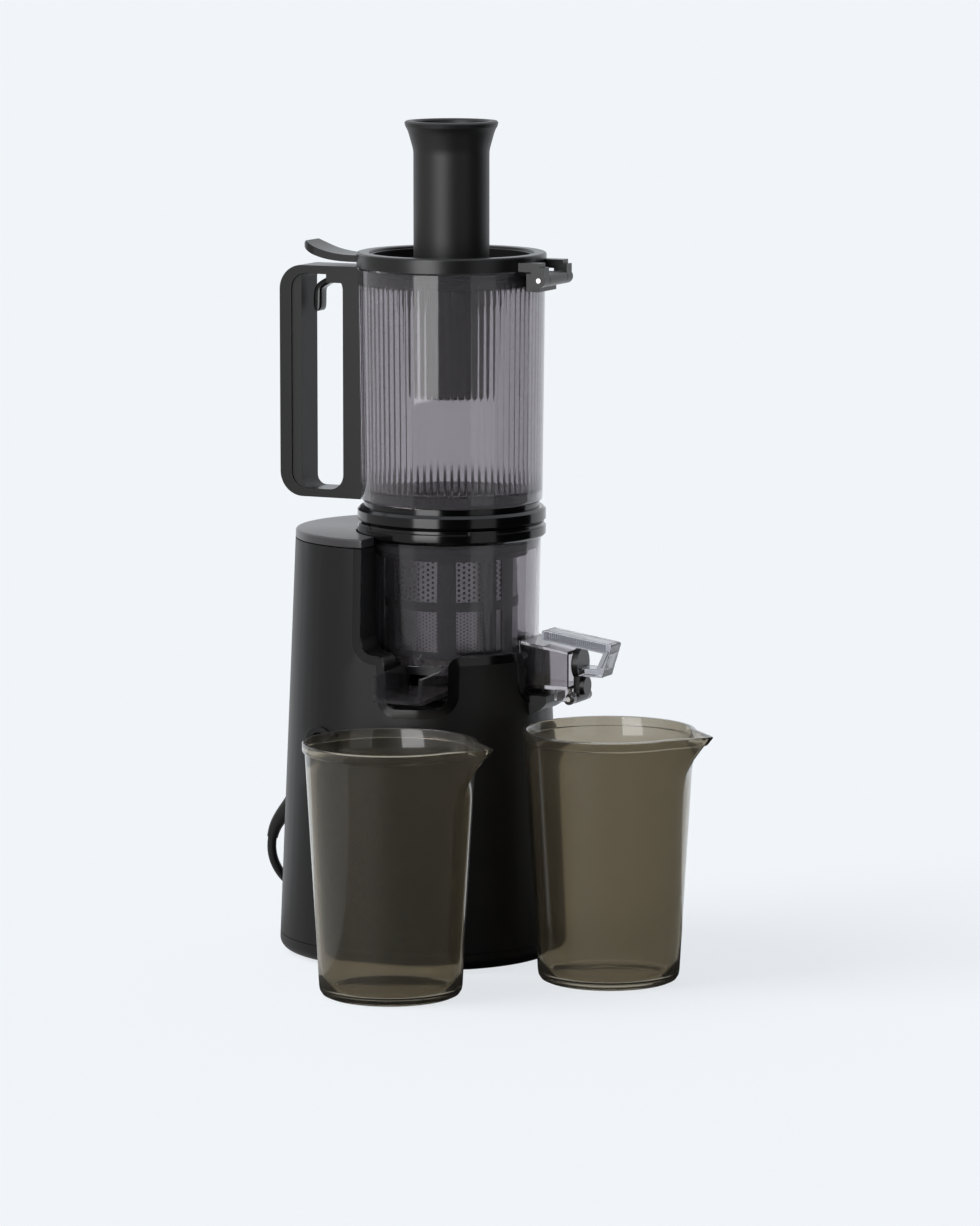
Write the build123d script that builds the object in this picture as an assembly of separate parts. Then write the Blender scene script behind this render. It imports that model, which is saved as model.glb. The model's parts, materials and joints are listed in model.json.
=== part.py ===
"""Cold press juicer with two pitchers, as separate sub-parts in one frame.

Working frame while modelling: millimetres, +Z up, z = 0 on the table, X = Y = 0 on the axis
of the juicing bowl. The juice spout points to -Y, the pulp outlet and the lid hinge are on +X,
the handle, the tower of the base and the power cord are on -X. At the end every sub-part is
moved by one shift, so that the origin is the bottom centre of the set without its cord.
"""
from build123d import *
from math import acos, cos, hypot, inf, pi, radians, sin, tan
import os

# ---------------------------------------------------------------- driving dimensions
RUN_GAP = 0.05            # running clearance of a shaft in its bore, on the radius
BODY_GAP = 0.3            # gap between parts that move against each other
FAR = 400.0               # longer than anything that a cut has to pass through

# pitcher, which sets how high the spout and the pulp outlet stand
PITCHER_H = 160.0
PITCHER_CLEAR = 9.2       # from the rim of a pitcher up to the knuckle of the pulp door
LEVER_KNUCKLE_R = 3.8
LEVER_PIVOT_DROP = 5.5    # pivot of the pulp door below the pulp outlet
CHUTE_BOTTOM = PITCHER_H + PITCHER_CLEAR + LEVER_KNUCKLE_R + LEVER_PIVOT_DROP
CHUTE_RISE = 10.5         # underside of the pulp outlet above the pocket floor
RECESS_Z = CHUTE_BOTTOM - CHUTE_RISE     # floor of the pocket that the bowl stands in

# base
TOWER_H = 107.6           # tower top above the pocket floor
TOWER_TOP = RECESS_Z + TOWER_H
BASE_REAR_X = -31.5       # centre of the rear end of the base plan
BASE_FRONT_X = -13.0      # centre of the bowl end of the base plan
BASE_TOP_R = 72.0         # radius of both ends at the tower top
BASE_DRAFT = 0.0425       # how much the radius grows for each mm downwards
BASE_WALL = 2.8
CAP_H = 5.6
TRAY_TOP = 12.0
TRAY_BOTTOM = 1.5
TRAY_ROUND = 6.5
TRAY_WALL = 2.6
SEAM = 0.4                # shadow gap between the shells of the base
TOWER_EDGE_X = -29.0      # front edge of the tower
TOWER_FOOT_R = 10.0       # round corner between tower edge and low wall
RECESS_R = 59.0           # pocket that the bowl stands in
DECK_H = 34.5
DECK_Z = RECESS_Z + DECK_H          # top of the low wall around the bowl
SPOUT_NOTCH_W = 39.4
SPOUT_NOTCH_DROP = 7.3    # notch floor under the spout
PULP_NOTCH_W = 40.0
PULP_NOTCH_DROP = 4.5     # notch floor under the chute
NOTCH_R = 9.0             # lower corners of the notches
NOTCH_LIP_R = 6.4         # upper corners of the notches
TRIM_W = 5.6
TRIM_PROUD = 0.8
TRIM_DEPTH = 2.0
NOSE_X = 74.0             # rest under the pulp outlet
NOSE_W = 32.0
NOSE_H = 13.0
BOSS_R = 4.5
BOSS_H = 26.0
SCREW_R = 1.6
SCREW_HEAD_R = 3.2
FOOT_R = 8.0
FOOT_H = 3.0
VENT_COUNT = 7
VENT_L = 34.0
VENT_W = 3.0
VENT_PITCH = 7.0

# switch
SWITCH_ANGLE = -110.0     # where it sits on the rear round end, from +X
SWITCH_Z = 133.0
SWITCH_H = 42.0
SWITCH_W = 27.0
SWITCH_DEPTH = 8.0
SWITCH_PROUD = 1.2
SWITCH_RIM = 3.6
ROCKER_GAP = 0.6
ROCKER_PROUD = 2.2
ROCKER_AXLE_R = 1.5
ROCKER_TILT = 7.0         # degrees to each side

# motor and gearbox
SHAFT_R = 4.0
ROTOR_R = 24.0
STATOR_R = 33.5
STATOR_GAP = 0.5
COIL_H = 4.0
MOTOR_PLATE_R = 41.0
MOTOR_PLATE_H = 6.0
MOTOR_BOTTOM = 34.0
MOTOR_POST_R = 3.0
FAN_R = 30.0
FAN_BLADES = 9
FAN_H = 9.0
FAN_DROP = 13.0           # underside of the fan below the motor
FAN_Z = (MOTOR_BOTTOM - FAN_DROP, MOTOR_BOTTOM - FAN_DROP + FAN_H)
GEARBOX_H = 60.0          # with its room under the pocket floor
GEARBOX_BOTTOM = RECESS_Z - GEARBOX_H
ROTOR_MARGIN = 13.0       # from the outer face of each end plate to the rotor
ROTOR_Z = (MOTOR_BOTTOM + ROTOR_MARGIN, GEARBOX_BOTTOM - ROTOR_MARGIN)
GEARBOX_R = 46.0
GEARBOX_WALL = 3.1
MODULE = 1.4
SUN_TEETH = 15
PLANET_TEETH = 18
RING_TEETH = SUN_TEETH + 2 * PLANET_TEETH
PLANETS = 3
GEAR_UP = 6.0             # gears above the gearbox's underside
GEAR_WIDTH = 12.0
GEAR_Z = (GEARBOX_BOTTOM + GEAR_UP, GEARBOX_BOTTOM + GEAR_UP + GEAR_WIDTH)
BACKLASH = 0.16
CARRIER_R = 32.5
CARRIER_H = 6.0
PLANET_PIN_R = 4.0
DRIVE_R = 8.0
HEX_R = 6.6               # corner radius of the hexagonal drive end
DRIVE_REACH = 44.0        # how far the drive end stands up into the bowl
DRIVE_TOP = RECESS_Z + DRIVE_REACH
HEX_FIT = 0.12

# bowl
BOWL_STAND = 4.0          # bowl above the pocket floor
BOWL_RIM_DROP = 3.6       # bowl rim below the tower top
BOWL_BOTTOM = RECESS_Z + BOWL_STAND
BOWL_TOP = TOWER_TOP - BOWL_RIM_DROP
BOWL_TOP_R = 57.4
BOWL_LOW_R = 55.8         # radius at the deck
BOWL_FOOT_R = 49.0
BOWL_FOOT_H = 24.0        # below this height the bowl narrows to its foot
BOWL_TAPER_Z = BOWL_BOTTOM + BOWL_FOOT_H
BOWL_WALL = 2.4
BOWL_FLOOR = 3.0
BOWL_STEP_DROP = 6.0      # step that the strainer flange rests on, below the rim
BOWL_STEP_Z = BOWL_TOP - BOWL_STEP_DROP
BOWL_HUB_R = 9.5
SPOUT_X = 8.2             # centre line of the juice spout
SPOUT_W = 34.4
SPOUT_END_Y = -98.0
SPOUT_UP = 8.5            # underside of its mouth above the pocket floor
SPOUT_BOTTOM = RECESS_Z + SPOUT_UP
SPOUT_NOTCH_Z = SPOUT_BOTTOM - SPOUT_NOTCH_DROP
SPOUT_H = 16.5
SPOUT_RISE = 2.4          # floor of the spout at the bowl is this much higher
SPOUT_WALL = 2.2
CHUTE_W = 28.0
CHUTE_END_X = 88.0
CHUTE_H = 24.9            # at the mouth
CHUTE_TOP_END = CHUTE_BOTTOM + CHUTE_H
PULP_NOTCH_Z = CHUTE_BOTTOM - PULP_NOTCH_DROP
CHUTE_SLOPE = 0.16
CHUTE_WALL = 2.2
LEVER_PIVOT_OUT = 1.0     # pivot of the pulp door beyond the mouth
LEVER_PIVOT = (CHUTE_END_X + LEVER_PIVOT_OUT, CHUTE_BOTTOM - LEVER_PIVOT_DROP)
LEVER_PIN_R = 1.5
LEVER_W = 16.0
LEVER_THICK = 5.4
LEVER_BACK = 21.0         # how far the top bar reaches back over the pulp outlet
LEVER_L = 49.0
LEVER_RISE = 12.2         # top bar above the pulp outlet
LEVER_SLOPE = 0.14
LEVER_START_X = CHUTE_END_X - LEVER_BACK
LEVER_END_X = LEVER_START_X + LEVER_L
LEVER_TOP = CHUTE_TOP_END + LEVER_RISE
CAP_GAP = 0.7             # between the mouth and the door
CAP_DISC_R = 10.0
CAP_DISC_T = 4.2

# strainer, brush and auger
STRAINER_R = 43.0
STRAINER_WALL = 2.0
STRAINER_UP = 25.0        # above the underside of the bowl
STRAINER_BOTTOM = BOWL_BOTTOM + STRAINER_UP
FLANGE_H = 4.0
WINDOWS = 6
WINDOW_DEG = 44.0
WINDOW_TURN = 21.0        # middle of the first window, round from +X
WINDOW_EDGE = 5.0
MESH_T = 0.7
BRUSH_R = 49.6
BRUSH_RING_W = 3.4
BRUSH_BARS = 3
BRUSH_BAR_DEG = 9.0
BRUSH_REST = -35.0        # where the first bar stands at rest, round from +X
BLADE_T = 1.6
BRUSH_GEAR_UP = 16.0      # above the underside of the bowl
BRUSH_GEAR_WIDTH = 6.0
BRUSH_GEAR_Z = (BOWL_BOTTOM + BRUSH_GEAR_UP, BOWL_BOTTOM + BRUSH_GEAR_UP + BRUSH_GEAR_WIDTH)
BRUSH_MODULE = 1.5
AUGER_GEAR_TEETH = 24
PINION_TEETH = 18
BRUSH_TEETH = AUGER_GEAR_TEETH + 2 * PINION_TEETH
PINION_PIN_R = 3.0
AUGER_CORE_R = 17.0
AUGER_FOOT_R = 12.0
AUGER_R = 40.2
AUGER_GAP = 1.0           # between the brush gears and the auger's foot
AUGER_OVER = 11.0         # auger's shoulder above the bowl rim
AUGER_Z = (BRUSH_GEAR_Z[1] + AUGER_GAP, BOWL_TOP + AUGER_OVER)
AUGER_PITCH = 42.0
FLIGHT_T = 6.0
AUGER_PIN_R = 4.0
AUGER_PIN_L = 9.0
AUGER_PIN_TOP = AUGER_Z[1] + AUGER_PIN_L

# hopper
COLLAR_R = 60.6
COLLAR_H = 9.3
COLLAR_TOP = BOWL_TOP + BODY_GAP + COLLAR_H
HOPPER_FOOT_H = 13.4      # dark rings between the collar and the clear tube
HOPPER_BOTTOM = COLLAR_TOP + HOPPER_FOOT_H
HOPPER_H = 150.0
HOPPER_TOP = HOPPER_BOTTOM + HOPPER_H
HOPPER_TOP_R = 60.0
HOPPER_LOW_R = 58.4
HOPPER_WALL = 3.0
RING_ROUND = 1.8          # edges of the two rings under the clear tube
WAIST_H = 3.6             # narrow neck between the upper ring and the clear tube
WAIST_IN = 4.2
THROAT_R = 38.0
FUNNEL_H = 9.0
FUNNEL_TOP = HOPPER_BOTTOM + FUNNEL_H
SPOKES = 3
SPOKE_W = 5.0
HUB_R = 9.0

# handle and trigger
HANDLE_OUT_X = -117.0
HANDLE_DROP = 1.6         # handle's ends below the ends of the clear tube
HANDLE_TOP = HOPPER_TOP - HANDLE_DROP
HANDLE_BOTTOM = HOPPER_BOTTOM - HANDLE_DROP
HANDLE_W = 25.0
HANDLE_BAR = 8.4          # thickness of the upright bar
HANDLE_ARM = 5.4          # thickness of the arms at top and bottom
HANDLE_CORNER = 16.0
COLUMN_X = -71.6
GRIP_T = 6.9
GRIP_INSET = 1.2
GRIP_END_GAP = 7.0
TRIGGER_OUT = 6.9         # pivot out from the column
TRIGGER_DROP = 6.8        # pivot below the handle's top
TRIGGER_PIVOT = (COLUMN_X - TRIGGER_OUT, HANDLE_TOP - TRIGGER_DROP)
TRIGGER_PIN_R = 1.3
TRIGGER_W = 10.0
SPRING_WIRE = 0.9
TRIGGER_TRAVEL = 8.0      # degrees
TRIGGER_REACH = 25.4      # outer face of the hook from the column
TRIGGER_T = 6.4
TRIGGER_L = 30.4          # hook's end below the handle's top
TRIGGER_BODY = (COLUMN_X - TRIGGER_REACH, COLUMN_X - TRIGGER_REACH + TRIGGER_T, HANDLE_TOP - TRIGGER_L)

# lid and pusher
LID_R = 60.8
LID_H = 9.3
LID_TOP = HOPPER_TOP + BODY_GAP + LID_H
LID_MOUTH_R = 52.6
DISH_DROP = 1.6           # underside of the dish below the hopper's rim
DISH_FLOOR = HOPPER_TOP - DISH_DROP
DISH_T = 2.6
GUIDE_R = 25.2
GUIDE_DROP = 21.0
GUIDE_BOTTOM = HOPPER_TOP - GUIDE_DROP
HINGE_X = 71.0
HINGE_DROP = 5.0
HINGE_Z = HOPPER_TOP - HINGE_DROP
HINGE_PIN_R = 1.6
HINGE_KNUCKLE_R = 4.5
HINGE_HALF = 21.5
EAR_W = 8.0
THUMB_REACH = 103.5
THUMB_W = 24.0
THUMB_T = 4.4
PUSHER_R = 24.3
PUSHER_IN = 83.0          # how far it reaches into the hopper at rest, clear of the wall as the lid swings
PUSHER_L = 176.0
PUSHER_FOOT_R = 22.4      # it tapers to this from just under its guide
PUSHER_BOTTOM = HOPPER_TOP - PUSHER_IN
PUSHER_TOP = PUSHER_BOTTOM + PUSHER_L
PUSHER_FLARE = 21.0       # height of the flared end
PUSHER_NECK = PUSHER_TOP - PUSHER_FLARE
PUSHER_RIM_R = 30.0
PUSHER_MOUTH_R = 24.2
PUSHER_WALL = 2.6

# pitchers
PITCHER_LOW_R = 45.0
PITCHER_HIGH_R = 53.4
PITCHER_WALL = 2.2
PITCHER_FLOOR = 4.0
PITCHER_RIM_R = 55.0
PITCHER_RIM_H = 6.5
BEAK_REACH = 71.6
BEAK_DROP = 26.0
BEAK_HALF = 24.0
JUICE_PITCHER_AT = (23.6, -139.4)
PULP_PITCHER_AT = (128.0, -38.2)

# power cord
CORD_D = 6.0
CORD_EXIT_Z = 88.0
GLAND_L = 9.0
GLAND_TILT = 42.0
COIL_CENTRE = (-88.0, 126.0)
COIL_MEAN_R = 36.0
PLUG_L = 36.0
PLUG_PIN_L = 18.0
PLUG_AT = (-63.0, 181.4)
PLUG_Z = 6.6

# control board in the tower
BOARD_BACK = 47.5         # behind the centre of the rear end
BOARD_DROP = 26.0         # below the cap
BOARD_H = 66.0
BOARD_HALF = 26.0         # from its middle to its spacers
BOARD_EDGE = 6.0          # board beyond its spacers
BOARD_T = 1.6
SPACER_R = 2.5


# ---------------------------------------------------------------- small helpers
def cyl(r, z0, z1, x=0.0, y=0.0):
    """Upright cylinder between two heights."""
    return Pos(x, y, (z0 + z1) / 2) * Cylinder(r, z1 - z0)


def ring(outer, inner, z0, z1, x=0.0, y=0.0):
    """Upright tube between two heights."""
    return cyl(outer, z0, z1, x, y) - cyl(inner, z0 - 1, z1 + 1, x, y)


def block(x0, x1, y0, y1, z0, z1):
    """Box given by its two corners."""
    place = Pos((x0 + x1) / 2, (y0 + y1) / 2, (z0 + z1) / 2)
    return place * Box(x1 - x0, y1 - y0, z1 - z0)


def cyl_y(r, x, z, y0, y1):
    """Cylinder along Y."""
    return Pos(x, (y0 + y1) / 2, z) * Rot(90, 0, 0) * Cylinder(r, y1 - y0)


def lathe(points):
    """Solid of revolution about Z from (radius, height) points."""
    outline = Plane.XZ * make_face(Polyline(*points, close=True))
    return revolve(outline, Axis.Z)


def sector(r, z0, z1, start, sweep):
    """Wedge of a cylinder, angles in degrees from +X, for a sweep under 180."""
    far = 1.6 * r
    mid = start + sweep / 2
    corners = [(0, 0)]
    for angle in (start, mid, start + sweep):
        corners.append((far * cos(radians(angle)), far * sin(radians(angle))))
    wedge = Pos(0, 0, z0) * extrude(make_face(Polyline(*corners, close=True)), z1 - z0)
    return wedge & cyl(r, z0, z1)


def around(count, make, start=0.0):
    """The shapes made by make(), turned about Z into count places."""
    return [Rot(0, 0, start + 360 * k / count) * make() for k in range(count)]


def fuse(first, *others):
    """Union of several shapes."""
    result = first
    for other in others:
        result = result + other
    return result


def group(shapes):
    """Separate solids kept as one sub-part."""
    solids = []
    for shape in shapes:
        solids += list(shape.solids())
    return Compound(solids)


# ---------------------------------------------------------------- base shells
def base_r(z):
    """Radius of the base's round ends at a height."""
    return BASE_TOP_R + (TOWER_TOP - z) * BASE_DRAFT


def plan(z, grow=0.0):
    """Plan of the base at a height, as a face."""
    centre = (BASE_REAR_X + BASE_FRONT_X) / 2
    length = BASE_FRONT_X - BASE_REAR_X
    return Pos(centre, 0, z) * SlotCenterToCenter(length, 2 * (base_r(z) + grow))


def base_block(z0, z1, grow=0.0):
    """Solid inside the base's outer surface between two heights."""
    return loft([plan(z0, grow), plan(z1, grow)], ruled=True)


def front_profile(grow):
    """Side view of the cut that the bowl stands in, with the juice notch."""
    left = SPOUT_X - SPOUT_NOTCH_W / 2 - grow
    right = SPOUT_X + SPOUT_NOTCH_W / 2 + grow
    edge, deck, low = TOWER_EDGE_X - grow, DECK_Z - grow, SPOUT_NOTCH_Z - grow
    far, top = 150.0, TOWER_TOP + 30
    points = [(edge, top), (edge, deck), (left, deck), (left, low),
              (right, low), (right, deck), (far, deck), (far, top)]
    radii = [0, TOWER_FOOT_R + grow, NOTCH_LIP_R - grow, NOTCH_R + grow,
             NOTCH_R + grow, NOTCH_LIP_R - grow, 0, 0]
    return rounded(points, radii)


def rear_profile(grow):
    """The same cut on the far side, with no notch."""
    edge, deck = TOWER_EDGE_X - grow, DECK_Z - grow
    far, top = 150.0, TOWER_TOP + 30
    return rounded([(edge, top), (edge, deck), (far, deck), (far, top)],
                   [0, TOWER_FOOT_R + grow, 0, 0])


def pulp_profile(grow):
    """End view of the notch for the pulp outlet."""
    half = PULP_NOTCH_W / 2 + grow
    deck, low = DECK_Z - grow, PULP_NOTCH_Z - grow
    far, top = 150.0, TOWER_TOP + 30
    lip, foot = NOTCH_LIP_R - grow, NOTCH_R + grow
    points = [(-far, top), (-far, deck), (-half, deck), (-half, low),
              (half, low), (half, deck), (far, deck), (far, top)]
    return rounded(points, [0, 0, lip, foot, foot, lip, 0, 0])


def rounded(points, radii):
    """Closed polygon face whose corners are rounded by radii in order."""
    count = len(points)
    edges = []
    starts = []
    for k in range(count):
        (px, py), (cx, cy), (nx, ny) = points[k - 1], points[k], points[(k + 1) % count]
        ax, ay = px - cx, py - cy
        bx, by = nx - cx, ny - cy
        la, lb = hypot(ax, ay), hypot(bx, by)
        ax, ay, bx, by = ax / la, ay / la, bx / lb, by / lb
        if radii[k] <= 0:
            starts.append(((cx, cy), (cx, cy)))
            continue
        half = acos(max(-1.0, min(1.0, ax * bx + ay * by))) / 2
        back = radii[k] / tan(half)
        mx, my = ax + bx, ay + by
        lm = hypot(mx, my)
        reach = radii[k] / sin(half)
        mid = (cx + mx / lm * (reach - radii[k]), cy + my / lm * (reach - radii[k]))
        first = (cx + ax * back, cy + ay * back)
        last = (cx + bx * back, cy + by * back)
        edges.append(ThreePointArc(first, mid, last))
        starts.append((first, last))
    for k in range(count):
        a, b = starts[k][1], starts[(k + 1) % count][0]
        if hypot(a[0] - b[0], a[1] - b[1]) > 1e-6:
            edges.append(Line(a, b))
    return make_face(edges)


def saddle_cut(grow=0.0):
    """Everything that is cut out of the base for the bowl, spout and pulp outlet."""
    depth = 150.0
    front = extrude(Plane.XZ * front_profile(grow), depth)
    rear = extrude(Plane.XZ * rear_profile(grow), -depth)
    end = extrude(Plane.YZ * pulp_profile(grow), depth)
    return front + rear + end


def recess(grow=0.0):
    """Round pocket for the bowl."""
    return cyl(RECESS_R + grow, RECESS_Z - grow, TOWER_TOP + 30)


def boss_places():
    """Screw places around the bottom, tangent to the inside of the wall."""
    reach = base_r(TRAY_TOP + BOSS_H) - BASE_WALL - BOSS_R + 1.0
    places = []
    for angle, centre in ((50, BASE_FRONT_X), (-50, BASE_FRONT_X),
                          (130, BASE_REAR_X), (-130, BASE_REAR_X)):
        places.append((centre + reach * cos(radians(angle)), reach * sin(radians(angle))))
    return places


def nose():
    """Rest that stands out of the base under the pulp outlet."""
    top = PULP_NOTCH_Z
    back = BASE_FRONT_X + base_r(top) - 6
    mid_z = top - NOSE_H * 0.35
    face = make_face([Line((back, top), (NOSE_X, top)),
                      Line((NOSE_X, top), (NOSE_X, mid_z)),
                      ThreePointArc((NOSE_X, mid_z),
                                    ((NOSE_X + back) / 2 + 1.5, top - NOSE_H * 0.8),
                                    (back, top - NOSE_H)),
                      Line((back, top - NOSE_H), (back, top))])
    return extrude(Plane.XZ * face, NOSE_W / 2, both=True)


def switch_plane(out=0.0):
    """Plane on the base surface at the switch: local X is level, local Z points out."""
    a = radians(SWITCH_ANGLE)
    reach = base_r(SWITCH_Z) + out
    origin = (BASE_REAR_X + reach * cos(a), reach * sin(a), SWITCH_Z)
    return Plane(origin=origin, x_dir=(-sin(a), cos(a), 0), z_dir=(cos(a), sin(a), 0))


def pill(width, height, out, depth):
    """Pill-shaped prism at the switch, its outer face out beyond the surface."""
    face = Rot(0, 0, 90) * SlotOverall(height, width)
    return switch_plane(out) * extrude(face, -depth)


def outer_band():
    """Thin layer at the base's outer surface, for the trim."""
    top = TOWER_TOP - CAP_H - SEAM
    return base_block(TRAY_TOP + 60, top, TRIM_PROUD) - base_block(TRAY_TOP + 50, top + 5, -TRIM_DEPTH)


def make_saddle_trim():
    """Glossy border along the edge of the cut-out."""
    border = saddle_cut(TRIM_W) - saddle_cut()
    return (outer_band() & border) - recess(1.0)


def make_base_housing(trim):
    """Main shell: tower, low wall around the bowl, pocket floor and bosses."""
    low, high = TRAY_TOP + SEAM, TOWER_TOP - CAP_H - SEAM
    outer = base_block(low, high) + (nose() - base_block(low, high))
    cavity = base_block(low - 5, high + 5, -BASE_WALL) - saddle_cut(BASE_WALL) - recess(BASE_WALL)
    cavity = cavity - block(-150, 150, -150, 150, high - BASE_WALL, high + 10)
    tower_mouth = base_block(high - 10, high + 5, -BASE_WALL - 3)
    tower_mouth = tower_mouth - saddle_cut(BASE_WALL + 3) - recess(BASE_WALL + 3)
    shell = outer - cavity - saddle_cut() - recess() - (tower_mouth & block(-150, 150, -150, 150, high - 8, high + 5))
    posts = []
    for x, y in boss_places():
        post = cyl(BOSS_R, low, low + BOSS_H, x, y) & base_block(low, high, -0.5)
        posts.append(post)
    shell = fuse(shell, *posts)
    for x, y in boss_places():
        shell = shell - cyl(SCREW_R, low - 1, low + BOSS_H - 4, x, y)
    shell = shell - cyl(DRIVE_R + 4.0, RECESS_Z - BASE_WALL - 1, RECESS_Z + 1)
    exit_r = CORD_D / 2 + 3.0
    port = Pos(BASE_REAR_X - base_r(CORD_EXIT_Z), 0, CORD_EXIT_Z) * Rot(0, 90, 0) * Cylinder(exit_r, 14)
    shell = shell - port - pill(SWITCH_W, SWITCH_H, 4.0, SWITCH_DEPTH + 4.0)
    return shell - trim


def make_rear_cap():
    """Plate on top of the tower, hollowed where the hopper rings pass."""
    plate = base_block(TOWER_TOP - CAP_H, TOWER_TOP)
    top_edges = plate.faces().sort_by(Axis.Z)[-1].edges()
    plate = fillet(top_edges, 1.4)
    plate = plate - cyl(COLLAR_R + 0.8, TOWER_TOP - 20, TOWER_TOP + 20)
    plate = plate - block(TOWER_EDGE_X, 150, -150, 150, TOWER_TOP - 20, TOWER_TOP + 20)
    high = TOWER_TOP - CAP_H
    plug = base_block(high - 4, high, -BASE_WALL - 3.3)
    plug = plug - saddle_cut(BASE_WALL + 3.3) - recess(BASE_WALL + 3.3)
    return plate + plug


def make_bottom_tray():
    """Shallow tray that closes the base, with rounded lower edge and vent slots."""
    body = base_block(TRAY_BOTTOM, TRAY_TOP)
    body = fillet(body.faces().sort_by(Axis.Z)[0].edges(), TRAY_ROUND)
    hollow = base_block(TRAY_BOTTOM + TRAY_WALL, TRAY_TOP + 5, -TRAY_WALL - 3.5)
    body = body - hollow
    for x, y in boss_places():
        body = body + (cyl(BOSS_R, TRAY_BOTTOM + 1, TRAY_TOP + SEAM, x, y) & base_block(0, 60, -2))
    for x, y in boss_places():
        body = body - cyl(SCREW_R + 0.2, 0, 60, x, y)
        body = body - cyl(SCREW_HEAD_R + 0.3, 0, TRAY_BOTTOM + TRAY_WALL, x, y)
    middle = (BASE_REAR_X + BASE_FRONT_X) / 2
    for k in range(VENT_COUNT):
        x = middle + (k - (VENT_COUNT - 1) / 2) * VENT_PITCH
        body = body - block(x - VENT_W / 2, x + VENT_W / 2, -VENT_L / 2, VENT_L / 2, 0, 10)
    for x, y in foot_places():
        body = body - cyl(FOOT_R, 0, FOOT_H, x, y)
    return body


def foot_places():
    """Centres of the rubber feet."""
    reach = base_r(0) - TRAY_ROUND - FOOT_R - 6.0
    return [(BASE_FRONT_X + reach * cos(radians(20)), reach * sin(radians(20))),
            (BASE_FRONT_X + reach * cos(radians(-20)), reach * sin(radians(-20))),
            (BASE_REAR_X + reach * cos(radians(160)), reach * sin(radians(160))),
            (BASE_REAR_X + reach * cos(radians(-160)), reach * sin(radians(-160)))]


def make_rubber_feet():
    """Four round feet set into the tray."""
    return group([cyl(FOOT_R, 0, FOOT_H, x, y) for x, y in foot_places()])


def make_tray_screws():
    """Screws that hold the tray to the housing."""
    screws = []
    for x, y in boss_places():
        head_top = TRAY_BOTTOM + TRAY_WALL
        head = cyl(SCREW_HEAD_R, head_top - 2.2, head_top, x, y)
        head = head - block(x - 2.2, x + 2.2, y - 0.5, y + 0.5, head_top - 3, head_top - 1.2)
        screws.append(head + cyl(SCREW_R - 0.05, head_top, TRAY_TOP + 14, x, y))
    return group(screws)


# ---------------------------------------------------------------- switch
def make_switch_bezel():
    """Frame of the run switch, a pill-shaped cup in the housing."""
    cup = pill(SWITCH_W, SWITCH_H, SWITCH_PROUD, SWITCH_DEPTH + SWITCH_PROUD)
    well = pill(SWITCH_W - 2 * SWITCH_RIM, SWITCH_H - 2 * SWITCH_RIM, 4.0, SWITCH_DEPTH + 2.0)
    hole = switch_plane(-2.0) * Rot(0, 90, 0) * Cylinder(ROCKER_AXLE_R + RUN_GAP, SWITCH_W - 2.4)
    return cup - well - hole


def make_switch_rocker():
    """Rocker with a waist, on an axle across the switch."""
    width = SWITCH_W - 2 * SWITCH_RIM - 2 * ROCKER_GAP
    height = SWITCH_H - 2 * SWITCH_RIM - 2 * ROCKER_GAP - 1.6
    body = pill(width, height, ROCKER_PROUD, ROCKER_PROUD + 4.0)
    scoop_r = 60.0
    scoop = switch_plane(ROCKER_PROUD + scoop_r - 1.4) * Rot(0, 90, 0) * Cylinder(scoop_r, SWITCH_W)
    axle = switch_plane(-2.0) * Rot(0, 90, 0) * Cylinder(ROCKER_AXLE_R, SWITCH_W - 2.4 - 0.4)
    return (body - scoop) + axle


# ---------------------------------------------------------------- gears
def involute_side(base, start_r, end_r, steps=4):
    """Radius and roll angle of points along an involute flank."""
    points = []
    for k in range(steps + 1):
        r = max(start_r, base) + (end_r - max(start_r, base)) * k / steps
        a = acos(min(1.0, base / r))
        points.append((r, tan(a) - a))
    return points


def gear_face(teeth, module, tip, root, thin, phase=0.0):
    """Outline of a spur gear; thin takes a length off each tooth at the pitch circle."""
    pitch_r = teeth * module / 2
    base = pitch_r * cos(radians(20))
    half = pi / (2 * teeth) - thin / (2 * pitch_r) + (tan(radians(20)) - radians(20))
    side = involute_side(base, root, tip)
    points = []
    for k in range(teeth):
        mid = radians(phase) + 2 * pi * k / teeth
        low = half - side[0][1]
        points.append((root, mid - low))
        points += [(r, mid - half + roll) for r, roll in side if r > root + 1e-6]
        points += [(r, mid + half - roll) for r, roll in reversed(side) if r > root + 1e-6]
        points.append((root, mid + low))
    corners = [(r * cos(a), r * sin(a)) for r, a in points]
    return make_face(Polyline(*corners, close=True))


def spur(teeth, module, z0, z1, bore, phase=0.0):
    """External gear with a round bore."""
    pitch_r = teeth * module / 2
    face = gear_face(teeth, module, pitch_r + 0.9 * module, pitch_r - 1.2 * module, BACKLASH, phase)
    return (Pos(0, 0, z0) * extrude(face, z1 - z0)) - cyl(bore, z0 - 1, z1 + 1)


def internal_cutter(teeth, module, z0, z1, phase=0.0):
    """Solid that cuts the teeth of an internal gear."""
    pitch_r = teeth * module / 2
    face = gear_face(teeth, module, pitch_r + 1.2 * module, pitch_r - 0.9 * module, -BACKLASH, phase)
    return Pos(0, 0, z0) * extrude(face, z1 - z0)


def make_sun_gear():
    """Pinion on the motor shaft."""
    return spur(SUN_TEETH, MODULE, *GEAR_Z, SHAFT_R)


def make_planet_gear(k):
    """One planet, in mesh with the sun and the ring."""
    reach = (SUN_TEETH + PLANET_TEETH) * MODULE / 2
    gear = spur(PLANET_TEETH, MODULE, *GEAR_Z, PLANET_PIN_R + RUN_GAP, 180 / PLANET_TEETH)
    return Rot(0, 0, 360 * k / PLANETS) * (Pos(reach, 0, 0) * gear)


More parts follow.
